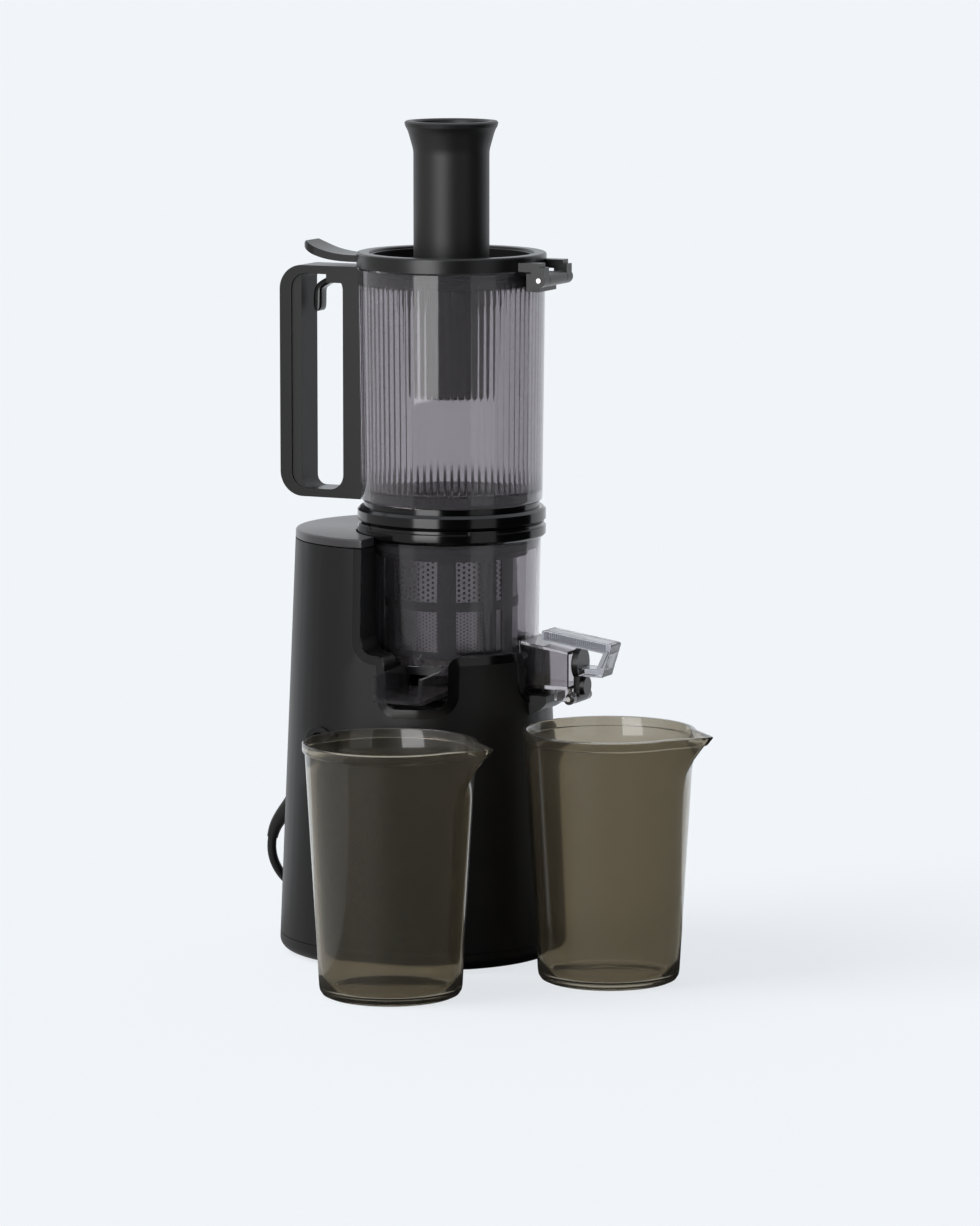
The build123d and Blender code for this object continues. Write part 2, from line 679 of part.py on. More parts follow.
def make_ring_gear():
    """Fixed internal gear of the gearbox."""
    z0, z1 = GEAR_Z[0] - 1, GEAR_Z[1] + 1
    body = cyl(GEARBOX_R - GEARBOX_WALL, z0, z1)
    return body - internal_cutter(RING_TEETH, MODULE, z0 - 1, z1 + 1, 180 / RING_TEETH)


def make_planet_carrier():
    """Plate with the planet pins and the shaft that drives the auger."""
    z0 = GEAR_Z[1] + 2.5
    body = cyl(CARRIER_R, z0, z0 + CARRIER_H) + cyl(DRIVE_R, z0, BOWL_BOTTOM)
    reach = (SUN_TEETH + PLANET_TEETH) * MODULE / 2
    for k in range(PLANETS):
        a = 2 * pi * k / PLANETS
        x, y = reach * cos(a), reach * sin(a)
        body = body + cyl(PLANET_PIN_R, GEAR_Z[0] - 0.8, z0 + 1, x, y)
        body = body + cyl(PLANET_PIN_R + 2, GEAR_Z[1] + BODY_GAP, z0 + 1, x, y)
    return body + Pos(0, 0, BOWL_BOTTOM) * extrude(hexagon(HEX_R), DRIVE_TOP - BOWL_BOTTOM)


def hexagon(r):
    """Hexagonal face with its corner radius."""
    return RegularPolygon(radius=r, side_count=6)


def make_gear_housing():
    """Case of the gearbox, hung under the pocket floor, with both shaft bearings."""
    top = RECESS_Z - BASE_WALL
    body = cyl(GEARBOX_R, GEARBOX_BOTTOM, top)
    inside = cyl(GEARBOX_R - GEARBOX_WALL, GEARBOX_BOTTOM + 4, top - 4)
    body = body - inside - cyl(SHAFT_R + RUN_GAP, GEARBOX_BOTTOM - 1, GEARBOX_BOTTOM + 5)
    neck = ring(DRIVE_R + 3.8, DRIVE_R + RUN_GAP, top - 4, RECESS_Z - 0.6)
    body = body - cyl(DRIVE_R + 3.0, top - 5, top + 1)
    return body + neck


def make_shaft_seal():
    """Rubber lip ring around the drive shaft in the pocket floor."""
    lip = ring(DRIVE_R + 8.0, DRIVE_R + BODY_GAP, RECESS_Z, RECESS_Z + 1.6)
    return lip + ring(DRIVE_R + 2.6, DRIVE_R + BODY_GAP, RECESS_Z, RECESS_Z + 3.2)


# ---------------------------------------------------------------- motor
def make_motor_frame():
    """Two end plates with bearings and four pillars."""
    plates = []
    for z0 in (MOTOR_BOTTOM, GEARBOX_BOTTOM - MOTOR_PLATE_H):
        plate = cyl(MOTOR_PLATE_R, z0, z0 + MOTOR_PLATE_H)
        for k in range(4):
            a = radians(90 * k)
            plate = plate - cyl(8, z0 - 1, z0 + MOTOR_PLATE_H + 1, 19 * cos(a), 19 * sin(a))
        plates.append(plate)
    body = plates[0] + plates[1]
    reach = STATOR_R + MOTOR_POST_R
    for k in range(4):
        a = radians(45 + 90 * k)
        post = cyl(MOTOR_POST_R, MOTOR_BOTTOM, GEARBOX_BOTTOM, reach * cos(a), reach * sin(a))
        body = body + post
    return body - cyl(SHAFT_R + RUN_GAP, 0, GEARBOX_BOTTOM + 1)


def make_motor_stator():
    """Iron stack with the winding heads at both ends."""
    bore = ROTOR_R + STATOR_GAP
    z0, z1 = ROTOR_Z
    stack = ring(STATOR_R, bore, z0, z1)
    heads = ring(STATOR_R - 2.5, bore + 1.0, z0 - COIL_H, z1 + COIL_H)
    return stack + heads


def make_motor_rotor():
    """Rotor with its shaft."""
    return cyl(ROTOR_R, *ROTOR_Z) + cyl(SHAFT_R, FAN_Z[0] - 1, GEAR_Z[1] + 1)


def make_cooling_fan():
    """Radial fan below the motor."""
    z0, z1 = FAN_Z
    hub = ring(SHAFT_R + 3.5, SHAFT_R, z0, z1) + ring(FAN_R, SHAFT_R, z0, z0 + 1.5)
    blades = around(FAN_BLADES, lambda: block(SHAFT_R + 3, FAN_R, -0.8, 0.8, z0 + 1, z1))
    return fuse(hub, *blades)


def make_control_board():
    """Circuit board in the tower, on spacers against the pocket wall."""
    x = BASE_REAR_X - BOARD_BACK
    back = x - BOARD_T
    z1 = TOWER_TOP - CAP_H - BOARD_DROP
    z0 = z1 - BOARD_H
    board = block(back, x, -BOARD_HALF - BOARD_EDGE, BOARD_HALF + BOARD_EDGE, z0, z1)
    heat_sink = block(back - 11.4, back, -12, 10, z0 + 8, z0 + 34)
    relay = block(back - 7.4, back, -14, 6, z1 - 20, z1 - 8)
    capacitors = [cyl_x(6.0, back - 14.4, back, 20, z1 - 14), cyl_x(6.0, back - 14.4, back, -22, z1 - 16)]
    wall = cyl(RECESS_R + BASE_WALL, z0 - BOARD_EDGE, z1 + BOARD_EDGE)
    spacers = []
    for y in (-BOARD_HALF, BOARD_HALF):
        for z in (z0 + BOARD_EDGE, z1 - BOARD_EDGE):
            spacers.append(cyl_x(SPACER_R, x, TOWER_EDGE_X, y, z) - wall)
    return fuse(board, heat_sink, relay, *capacitors, *spacers)


def cyl_x(r, x0, x1, y, z):
    """Cylinder along X."""
    return Pos((x0 + x1) / 2, y, z) * Rot(0, 90, 0) * Cylinder(r, x1 - x0)


# ---------------------------------------------------------------- bowl
def bowl_r(z):
    """Outer radius of the bowl wall at a height."""
    if z >= BOWL_TAPER_Z:
        share = (z - BOWL_TAPER_Z) / (BOWL_TOP - BOWL_TAPER_Z)
        return BOWL_LOW_R + (BOWL_TOP_R - BOWL_LOW_R) * share
    share = (z - BOWL_BOTTOM) / (BOWL_TAPER_Z - BOWL_BOTTOM)
    return BOWL_FOOT_R + (BOWL_LOW_R - BOWL_FOOT_R) * share


def bowl_block(grow):
    """Solid inside the bowl's outer surface, moved in or out by grow."""
    points = [(0, BOWL_BOTTOM), (bowl_r(BOWL_BOTTOM) + grow, BOWL_BOTTOM),
              (bowl_r(BOWL_TAPER_Z) + grow, BOWL_TAPER_Z),
              (bowl_r(BOWL_TOP) + grow, BOWL_TOP), (0, BOWL_TOP)]
    return lathe(points)


def trough(width, base_drop, height_add, y0, y1):
    """Prism along the juice spout whose floor falls towards the mouth."""
    z_in = SPOUT_BOTTOM + SPOUT_RISE + base_drop
    z_out = SPOUT_BOTTOM + base_drop
    run = SPOUT_END_Y
    slope = (z_out - z_in) / (run + 45.0)
    low0 = z_in + slope * (y0 + 45.0)
    low1 = z_in + slope * (y1 + 45.0)
    top = SPOUT_BOTTOM + SPOUT_H + height_add
    face = make_face(Polyline((y0, low0), (y1, low1), (y1, top), (y0, top + SPOUT_RISE), close=True))
    return Pos(SPOUT_X, 0, 0) * extrude(Plane.YZ * face, width / 2, both=True)


def chute_block(inset, x0, x1):
    """Prism along the pulp outlet, its roof falling outwards."""
    half = CHUTE_W / 2 - inset
    top_a = CHUTE_TOP_END + (CHUTE_END_X - x0) * CHUTE_SLOPE - inset
    top_b = CHUTE_TOP_END + (CHUTE_END_X - x1) * CHUTE_SLOPE - inset
    low = CHUTE_BOTTOM + inset
    face = make_face(Polyline((x0, low), (x1, low), (x1, top_b), (x0, top_a), close=True))
    return extrude(Plane.XZ * face, half, both=True)


def make_juicer_bowl():
    """Clear bowl with its hub, brush rest, pinion post and open juice spout."""
    inner = bowl_block(-BOWL_WALL) & cyl(80, BOWL_BOTTOM + BOWL_FLOOR, BOWL_TOP + 1)
    body = bowl_block(0)
    spout = trough(SPOUT_W, 0, 0, -40.0, SPOUT_END_Y)
    body = body + spout
    channel = trough(SPOUT_W - 2 * SPOUT_WALL, SPOUT_WALL, 10, -40.0, SPOUT_END_Y - 5)
    mouth = trough(SPOUT_W - 2 * SPOUT_WALL, SPOUT_WALL, 0, -40.0, -62.0)
    body = body - (channel - bowl_block(0)) - mouth - inner
    body = body - cyl(bowl_r(BOWL_TOP) - 1.4, BOWL_STEP_Z, BOWL_TOP + 1)
    body = body - chute_block(CHUTE_WALL, 40.0, 70.0)
    floor_z = BOWL_BOTTOM + BOWL_FLOOR
    rest = ring(BRUSH_R - 0.6, BRUSH_R - 3.4, floor_z - 1, BRUSH_GEAR_Z[0] - BODY_GAP)
    gate = block(0, CHUTE_END_X, -CHUTE_W / 2, CHUTE_W / 2, floor_z, BOWL_TOP)
    gate = gate + Pos(SPOUT_X, 0, 0) * block(-SPOUT_W / 2, SPOUT_W / 2, SPOUT_END_Y, 0, floor_z, BOWL_TOP)
    rest = (rest - gate) & bowl_block(-1.0)
    px = -(AUGER_GEAR_TEETH + PINION_TEETH) * BRUSH_MODULE / 2
    post = cyl(PINION_PIN_R + 2.5, floor_z - 1, BRUSH_GEAR_Z[0] - BODY_GAP, px, 0)
    post = post + cyl(PINION_PIN_R, floor_z - 1, BRUSH_GEAR_Z[1] + 0.5, px, 0)
    body = body + rest + post
    return body - cyl(BOWL_HUB_R, BOWL_BOTTOM - 1, floor_z + 1)


def make_bowl_seal():
    """Rubber ring that closes the bowl around the drive shaft."""
    floor_z = BOWL_BOTTOM + BOWL_FLOOR
    body = ring(BOWL_HUB_R, HEX_R + 0.6, BOWL_BOTTOM + 0.4, floor_z)
    return body + ring(BOWL_HUB_R + 3.0, HEX_R + 0.6, floor_z, floor_z + 1.6)


def make_pulp_chute():
    """Tube that leads the pulp out over the base, with knuckles for the door."""
    body = chute_block(0, 48.0, CHUTE_END_X) - chute_block(CHUTE_WALL, 40.0, CHUTE_END_X + 5)
    body = body - bowl_block(0)
    px, pz = LEVER_PIVOT
    for side in (-1, 1):
        y0, y1 = sorted((side * 8.4, side * CHUTE_W / 2))
        ear = block(px - 10, px, y0, y1, pz - 2.0, CHUTE_BOTTOM + 1) + cyl_y(LEVER_KNUCKLE_R, px, pz, y0, y1)
        body = body + ear
    return body - cyl_y(LEVER_PIN_R, px, pz, -CHUTE_W, CHUTE_W)


def make_lever_pin():
    """Steel pin of the pulp door."""
    px, pz = LEVER_PIVOT
    return cyl_y(LEVER_PIN_R, px, pz, -CHUTE_W / 2 - 1, CHUTE_W / 2 + 1)


def cap_centre_z():
    """Height of the middle of the pulp outlet's mouth."""
    return (CHUTE_BOTTOM + CHUTE_TOP_END) / 2 + 3.6


def lever_low():
    """Height of the underside of the lever's lower bar."""
    return cap_centre_z() - 7.4


def make_outlet_cap():
    """Black door on the pulp outlet with its arm down to the pin."""
    px, pz = LEVER_PIVOT
    x0 = CHUTE_END_X + CAP_GAP
    z_mid = cap_centre_z()
    disc = cyl_x(CAP_DISC_R, x0, x0 + CAP_DISC_T, 0, z_mid)
    arm = block(x0, x0 + CAP_DISC_T, -6.0, 6.0, pz, z_mid)
    knuckle = cyl_y(LEVER_KNUCKLE_R, px, pz, -8.4 + BODY_GAP, 8.4 - BODY_GAP)
    boss_z = (pz + lever_low()) / 2
    boss = cyl_x((lever_low() - pz) / 2 - 1.0, x0 + CAP_DISC_T, x0 + CAP_DISC_T + 3.0, 0, boss_z)
    body = disc + arm + knuckle + boss
    return body - cyl_y(LEVER_PIN_R + RUN_GAP, px, pz, -CHUTE_W, CHUTE_W)


def make_pulp_lever():
    """Clear C-shaped lever fixed to the door: top bar, leg and lower bar."""
    x0, x1 = LEVER_START_X, LEVER_END_X
    top0 = LEVER_TOP
    top1 = top0 - LEVER_SLOPE * (x1 - x0)
    door_x = CHUTE_END_X + CAP_GAP + CAP_DISC_T
    low = lever_low()
    outer = [(x0, top0 - 6.6), (x0, top0 - 1.0), (x0 + 2, top0), (x1 - 1, top1 + 0.2), (x1, top1 - 1),
             (x1 - 6.4, low), (door_x, low), (door_x, low + LEVER_THICK),
             (x1 - 6.4 - 5.4 + 1.0, low + LEVER_THICK), (x1 - 6.2, top1 - 6.0)]
    face = make_face(Polyline(*outer, close=True))
    return extrude(Plane.XZ * face, LEVER_W / 2, both=True)


# ---------------------------------------------------------------- strainer, brush, auger
def make_strainer_frame():
    """Basket with windows, and a flange that rests on the bowl's step."""
    inner = STRAINER_R - STRAINER_WALL
    body = ring(STRAINER_R, inner, STRAINER_BOTTOM, BOWL_STEP_Z + FLANGE_H)
    body = body + ring(bowl_r(BOWL_TOP) - 1.7, inner, BOWL_STEP_Z, BOWL_STEP_Z + FLANGE_H)
    for z0, z1 in window_heights():
        for k in range(WINDOWS):
            wedge = sector(80, z0, z1, WINDOW_TURN + 360 / WINDOWS * k - WINDOW_DEG / 2, WINDOW_DEG)
            body = body - (wedge - cyl(inner - 5, z0 - 1, z1 + 1))
    return body


def window_heights():
    """Lower and upper edge of the two rows of windows."""
    low, high = STRAINER_BOTTOM + WINDOW_EDGE, BOWL_STEP_Z - WINDOW_EDGE - 1.0
    middle = (low + high) / 2
    return ((low, middle - WINDOW_EDGE / 2 - 0.5), (middle + WINDOW_EDGE / 2 + 0.5, high))


def make_strainer_mesh():
    """Curved sieve sheets in the windows."""
    mid = STRAINER_R - STRAINER_WALL / 2
    sheets = []
    for z0, z1 in window_heights():
        for k in range(WINDOWS):
            wedge = sector(80, z0, z1, WINDOW_TURN + 360 / WINDOWS * k - WINDOW_DEG / 2, WINDOW_DEG)
            sheets.append(wedge & ring(mid + MESH_T / 2, mid - MESH_T / 2, z0, z1))
    return group(sheets)


def brush_top():
    """Top of the brush holder, under the strainer's flange."""
    return BOWL_STEP_Z - 0.5


def make_brush_holder():
    """Cage that turns around the strainer, with inner teeth at its foot."""
    z0, z1 = BRUSH_GEAR_Z
    foot = cyl(BRUSH_R, z0, z1) - internal_cutter(BRUSH_TEETH, BRUSH_MODULE, z0 - 1, z1 + 1, 180 / BRUSH_TEETH)
    inner = BRUSH_R - BRUSH_RING_W
    top = ring(BRUSH_R, inner, brush_top() - 4, brush_top())
    body = foot + top
    for k in range(BRUSH_BARS):
        start = bar_angle(k) - BRUSH_BAR_DEG / 2
        bar = sector(BRUSH_R, z1 - 1, brush_top() - 3, start, BRUSH_BAR_DEG)
        body = body + (bar - cyl(inner + 0.6, z1 - 2, brush_top()))
    return body


def bar_angle(k):
    """Where each brush bar stands at rest."""
    return BRUSH_REST + 360 * k / BRUSH_BARS


def make_wiper_blades():
    """Silicone blades on the bars, reaching to the strainer and to the bowl."""
    z0, z1 = BRUSH_GEAR_Z[1] + 4, brush_top() - 6
    blades = []
    for k in range(BRUSH_BARS):
        outside = block(BRUSH_R, 53.0, -BLADE_T / 2, BLADE_T / 2, z0 + 3, z1)
        inside = block(STRAINER_R + 0.4, BRUSH_R - BRUSH_RING_W + 0.6, -BLADE_T / 2, BLADE_T / 2, z0 + 3, z1)
        bar = ring(BRUSH_R, BRUSH_R - BRUSH_RING_W + 0.6, z0, z1 + 1)
        blades.append(Rot(0, 0, bar_angle(k)) * (outside - bar))
        blades.append(Rot(0, 0, bar_angle(k)) * (inside - bar))
    return group(blades)


def make_brush_drive_gear():
    """Gear under the auger that turns the brush pinion."""
    z0, z1 = BRUSH_GEAR_Z
    gear = spur(AUGER_GEAR_TEETH, BRUSH_MODULE, z0, z1, 2.0)
    return gear - Pos(0, 0, z0 - 1) * extrude(hexagon(HEX_R + HEX_FIT), z1 - z0 + 2)


def make_brush_pinion():
    """Idler between the auger's gear and the brush holder."""
    px = -(AUGER_GEAR_TEETH + PINION_TEETH) * BRUSH_MODULE / 2
    phase = 180 / PINION_TEETH
    gear = spur(PINION_TEETH, BRUSH_MODULE, *BRUSH_GEAR_Z, PINION_PIN_R + RUN_GAP, phase)
    return Pos(px, 0, 0) * gear


def make_auger():
    """Screw with one flight, a hexagonal socket and a top pin."""
    z0, z1 = AUGER_Z
    core = lathe([(0, z0), (AUGER_FOOT_R, z0), (AUGER_FOOT_R, z0 + 4), (AUGER_CORE_R + 5, z0 + 20),
                  (AUGER_CORE_R, z1 - 20), (AUGER_CORE_R - 5, z1), (0, z1)])
    turns_h = z1 - z0 - 16
    path = Helix(pitch=AUGER_PITCH, height=turns_h, radius=AUGER_CORE_R)
    start = path @ 0
    profile_plane = Plane(origin=start, x_dir=(1, 0, 0), z_dir=path % 0)
    section = profile_plane * Pos((AUGER_R - AUGER_CORE_R) / 2 - 2.0, 0) * Rectangle(AUGER_R - AUGER_CORE_R + 4, FLIGHT_T)
    flight = Pos(0, 0, z0 + 5) * sweep(section, path=path, is_frenet=True)
    flight = flight & (cyl(AUGER_R, z0 + 1, z1 - 2))
    body = core + flight + cyl(AUGER_PIN_R, z1 - 1, AUGER_PIN_TOP)
    socket = Pos(0, 0, z0 - 1) * extrude(hexagon(HEX_R + HEX_FIT), DRIVE_TOP - z0 + 2)
    return body - socket


# ---------------------------------------------------------------- hopper
def make_hopper_collar():
    """Ring on the bowl's rim that the hopper locks into."""
    z0 = BOWL_TOP + BODY_GAP
    bore_r = STRAINER_R + 2
    body = lathe([(bore_r, z0), (COLLAR_R - RING_ROUND, z0), (COLLAR_R, z0 + RING_ROUND), (COLLAR_R, COLLAR_TOP),
                  (bore_r, COLLAR_TOP)])
    groove = ring(COLLAR_R + 1, COLLAR_R - 1.6, COLLAR_TOP - 2.2, COLLAR_TOP + 1)
    bore = cyl(COLLAR_R - 3, z0, COLLAR_TOP + 1)
    lugs = around(4, lambda: sector(COLLAR_R, COLLAR_TOP - 2.2, COLLAR_TOP, -9, 18) - bore, 45)
    return fuse(body - groove, *lugs)


def hopper_r(z):
    """Outer radius of the hopper wall at a height."""
    share = (z - HOPPER_BOTTOM) / (HOPPER_TOP - HOPPER_BOTTOM)
    return HOPPER_LOW_R + (HOPPER_TOP_R - HOPPER_LOW_R) * share


def hopper_block(grow):
    """Solid inside the hopper's outer surface, moved in or out by grow."""
    return lathe([(0, HOPPER_BOTTOM), (hopper_r(HOPPER_BOTTOM) + grow, HOPPER_BOTTOM),
                  (hopper_r(HOPPER_TOP) + grow, HOPPER_TOP), (0, HOPPER_TOP)])


def make_hopper_barrel():
    """Clear tube that the produce goes into."""
    inside = lathe([(0, HOPPER_BOTTOM - 1), (hopper_r(HOPPER_BOTTOM) - HOPPER_WALL, HOPPER_BOTTOM - 1),
                    (hopper_r(HOPPER_TOP) - HOPPER_WALL, HOPPER_TOP + 1), (0, HOPPER_TOP + 1)])
    return hopper_block(0) - inside


def make_hopper_floor():
    """Foot ring, funnel and the spoked hub that carries the auger's top pin."""
    z0 = COLLAR_TOP + BODY_GAP
    waist = HOPPER_BOTTOM - WAIST_H
    foot = lathe([(THROAT_R, z0), (COLLAR_R - RING_ROUND, z0), (COLLAR_R, z0 + RING_ROUND),
                  (COLLAR_R, waist - RING_ROUND), (COLLAR_R - RING_ROUND, waist), (COLLAR_R - WAIST_IN, waist),
                  (COLLAR_R - WAIST_IN, HOPPER_BOTTOM), (THROAT_R, HOPPER_BOTTOM)])
    wall_r = hopper_r(HOPPER_BOTTOM) - HOPPER_WALL
    funnel = lathe([(THROAT_R, HOPPER_BOTTOM - 1), (wall_r, HOPPER_BOTTOM - 1), (wall_r, FUNNEL_TOP),
                    (wall_r - 2.0, FUNNEL_TOP), (THROAT_R, HOPPER_BOTTOM + 4)])
    hub_low = AUGER_Z[1] + 1.0
    hub = cyl(HUB_R, hub_low, AUGER_PIN_TOP + 3)
    spokes = around(SPOKES, lambda: block(HUB_R - 2, THROAT_R + 1, -SPOKE_W / 2, SPOKE_W / 2,
                                          hub_low, hub_low + 8), 90)
    body = fuse(foot, funnel, hub, *spokes)
    return body - cyl(AUGER_PIN_R + RUN_GAP, hub_low - 1, AUGER_PIN_TOP + 1)


def make_hinge_bracket():
    """Knuckle on the hopper for the lid."""
    half = HINGE_HALF - EAR_W - BODY_GAP
    z0, z1 = HINGE_Z - 8, HOPPER_TOP - 1.4
    plate = block(50, HINGE_X - 3.4, -half, half, z0, z1)
    web = block(50, HINGE_X, -half, half, HINGE_Z - 4.2, HINGE_Z + 2.0)
    body = (plate + web) - cyl(hopper_r(HINGE_Z) + 0.05, z0 - 1, z1 + 1)
    body = body + cyl_y(HINGE_KNUCKLE_R, HINGE_X, HINGE_Z, -half, half)
    return body - cyl_y(HINGE_PIN_R + RUN_GAP, HINGE_X, HINGE_Z, -40, 40)


# ---------------------------------------------------------------- handle
def make_handle_frame():
    """D-shaped loop on the hopper: upright bar, two arms, column and trigger housing."""
    outer = rounded([(HANDLE_OUT_X, HANDLE_TOP), (-50, HANDLE_TOP), (-50, HANDLE_BOTTOM),
                     (HANDLE_OUT_X, HANDLE_BOTTOM)], [HANDLE_CORNER, 0, 0, HANDLE_CORNER])
    inner_left = HANDLE_OUT_X + HANDLE_BAR
    inner_top, inner_low = HANDLE_TOP - HANDLE_ARM, HANDLE_BOTTOM + HANDLE_ARM
    inner_r = HANDLE_CORNER - 6.0
    gap = rounded([(inner_left, inner_top), (COLUMN_X, inner_top), (COLUMN_X, inner_low),
                   (inner_left, inner_low)], [inner_r] * 4)
    loop = extrude(Plane.XZ * (outer - gap), HANDLE_W / 2, both=True)
    house_x = TRIGGER_PIVOT[0] - 5.0
    house = block(house_x, COLUMN_X + 1, -HANDLE_W / 2, HANDLE_W / 2, TRIGGER_PIVOT[1] - 4.0, inner_top + 1)
    loop = loop + house
    slot = block(house_x - 1, COLUMN_X - 1.4, -TRIGGER_W / 2 - 0.4, TRIGGER_W / 2 + 0.4,
                 TRIGGER_PIVOT[1] - 5.0, TRIGGER_PIVOT[1] + 3.2)
    loop = loop - slot - hopper_block(0.05) - cyl(hopper_r(HOPPER_TOP), HOPPER_TOP - 4, HOPPER_TOP + 20)
    loop = loop - cyl(COLLAR_R + 0.05, COLLAR_TOP, HOPPER_BOTTOM)
    px, pz = TRIGGER_PIVOT
    return loop - cyl_y(TRIGGER_PIN_R, px, pz, -TRIGGER_W, TRIGGER_W)


def make_handle_grip():
    """Soft grip on the inner side of the upright bar."""
    x0 = HANDLE_OUT_X + HANDLE_BAR
    z0 = HANDLE_BOTTOM + HANDLE_ARM + GRIP_END_GAP + 4
    z1 = HANDLE_TOP - HANDLE_ARM - GRIP_END_GAP - 4
    body = block(x0, x0 + GRIP_T, -HANDLE_W / 2 + GRIP_INSET, HANDLE_W / 2 - GRIP_INSET, z0, z1)
    front = body.edges().filter_by(Axis.Z).sort_by(Axis.X)[-2:]
    return fillet(front, 3.0)


def make_handle_trigger():
    """Hooked lid-release trigger that hangs into the finger gap."""
    px, pz = TRIGGER_PIVOT
    x0, x1, z0 = TRIGGER_BODY
    arm = rounded([(px + 1.5, pz - 1.6), (px + 1.5, pz + 1.6), (x1 - 1.0, pz - 2.0), (x0, pz - 9.0),
                   (x0, z0), (x1, z0), (x1, pz - 10.5), (x1 + 3.5, pz - 4.6)],
                  [1.2, 1.2, 4.0, 3.0, 2.6, 2.6, 2.0, 2.0])
    body = extrude(Plane.XZ * arm, TRIGGER_W / 2, both=True)
    body = body + cyl_y(TRIGGER_PIN_R + 1.6, px, pz, -TRIGGER_W / 2, TRIGGER_W / 2)
    body = body - cyl_y(TRIGGER_PIN_R + RUN_GAP, px, pz, -TRIGGER_W, TRIGGER_W)
    spring_room = TRIGGER_PIN_R + SPRING_WIRE + BODY_GAP
    return body - block(px - spring_room, px + 6, -2.2, 2.2, pz - 6, pz + 6)


def make_trigger_pin():
    """Pin of the trigger, held in the handle."""
    px, pz = TRIGGER_PIVOT
    return cyl_y(TRIGGER_PIN_R, px, pz, -TRIGGER_W, TRIGGER_W)


def make_trigger_spring():
    """Torsion spring on the pin, as a plain sleeve with two legs' room."""
    px, pz = TRIGGER_PIVOT
    outer = TRIGGER_PIN_R + SPRING_WIRE
    return cyl_y(outer, px, pz, -1.9, 1.9) - cyl_y(TRIGGER_PIN_R, px, pz, -3, 3)


# ---------------------------------------------------------------- lid
def thumb_tongue():
    """Curved tab on the lid, over the handle, pushed up by the thumb."""
    z0 = HOPPER_TOP + BODY_GAP + 1.2
    root, tip = -54.0, -THUMB_REACH
    upper = [(root, z0 + THUMB_T + 0.4), (-64, z0 + THUMB_T), (-80, z0 + THUMB_T + 1.2), (tip + 4, z0 + 12.6)]
    lower = [(tip, z0 + 9.6), (-84, z0 + 1.4), (-66, z0), (root, z0)]
    face = make_face([Spline(*upper), Line(upper[-1], lower[0]), Spline(*lower), Line(lower[-1], upper[0])])
    slab = extrude(Plane.XZ * face, THUMB_W / 2, both=True)
    outline = rounded([(tip, -THUMB_W / 2), (-50, -THUMB_W / 2), (-50, THUMB_W / 2), (tip, THUMB_W / 2)],
                      [THUMB_W / 2 - 0.5, 0, 0, THUMB_W / 2 - 0.5])
    return slab & (Pos(0, 0, z0 - 20) * extrude(outline, 80))


def make_lid_ring():
    """Lid rim with the thumb tab and the two hinge ears."""
    z0 = HOPPER_TOP + BODY_GAP
    body = ring(LID_R, LID_MOUTH_R, z0, LID_TOP)
    body = fillet(body.edges().filter_by(GeomType.CIRCLE).sort_by(Axis.Z)[-2:], 1.6)
    body = body + (thumb_tongue() - cyl(LID_MOUTH_R + 1, z0 - FAR, z0 + FAR))
    for side in (-1, 1):
        y0, y1 = sorted((side * (HINGE_HALF - EAR_W), side * HINGE_HALF))
        arm = block(LID_MOUTH_R - 6, HINGE_X + 1, y0, y1, z0, z0 + 5.6)
        drop = block(HINGE_X - 5.4, HINGE_X + 3.6, y0, y1, HINGE_Z, z0 + 3)
        ear = arm + drop + cyl_y(HINGE_KNUCKLE_R, HINGE_X, HINGE_Z, y0, y1)
        body = body + (ear - cyl(LID_MOUTH_R + 0.5, z0 - FAR, z0 + FAR))
    return body - cyl_y(HINGE_PIN_R, HINGE_X, HINGE_Z, -40, 40)


def make_lid_dish():
    """Sunk floor of the lid with the guide tube for the pusher."""
    floor_top = DISH_FLOOR + DISH_T
    body = ring(LID_MOUTH_R, GUIDE_R, DISH_FLOOR, floor_top)
    body = body + ring(LID_MOUTH_R, LID_MOUTH_R - 2.0, DISH_FLOOR, LID_TOP - 1.6)
    return body + ring(GUIDE_R + 2.6, GUIDE_R, GUIDE_BOTTOM, floor_top + 1.0)


def make_lid_gasket():
    """Rubber ring under the lid rim, inside the hopper."""
    return ring(hopper_r(HOPPER_TOP) - HOPPER_WALL - 1.4, LID_MOUTH_R, HOPPER_TOP - 3.6, HOPPER_TOP + BODY_GAP)


def make_hinge_pin():
    """Steel pin of the lid hinge, held in the ears."""
    return cyl_y(HINGE_PIN_R, HINGE_X, HINGE_Z, -HINGE_HALF - 0.6, HINGE_HALF + 0.6)


def make_pusher_guide():
    """Soft ring that keeps the pusher where it is left."""
    return ring(GUIDE_R + 2.6, PUSHER_R + BODY_GAP, GUIDE_BOTTOM - 3.0, GUIDE_BOTTOM)


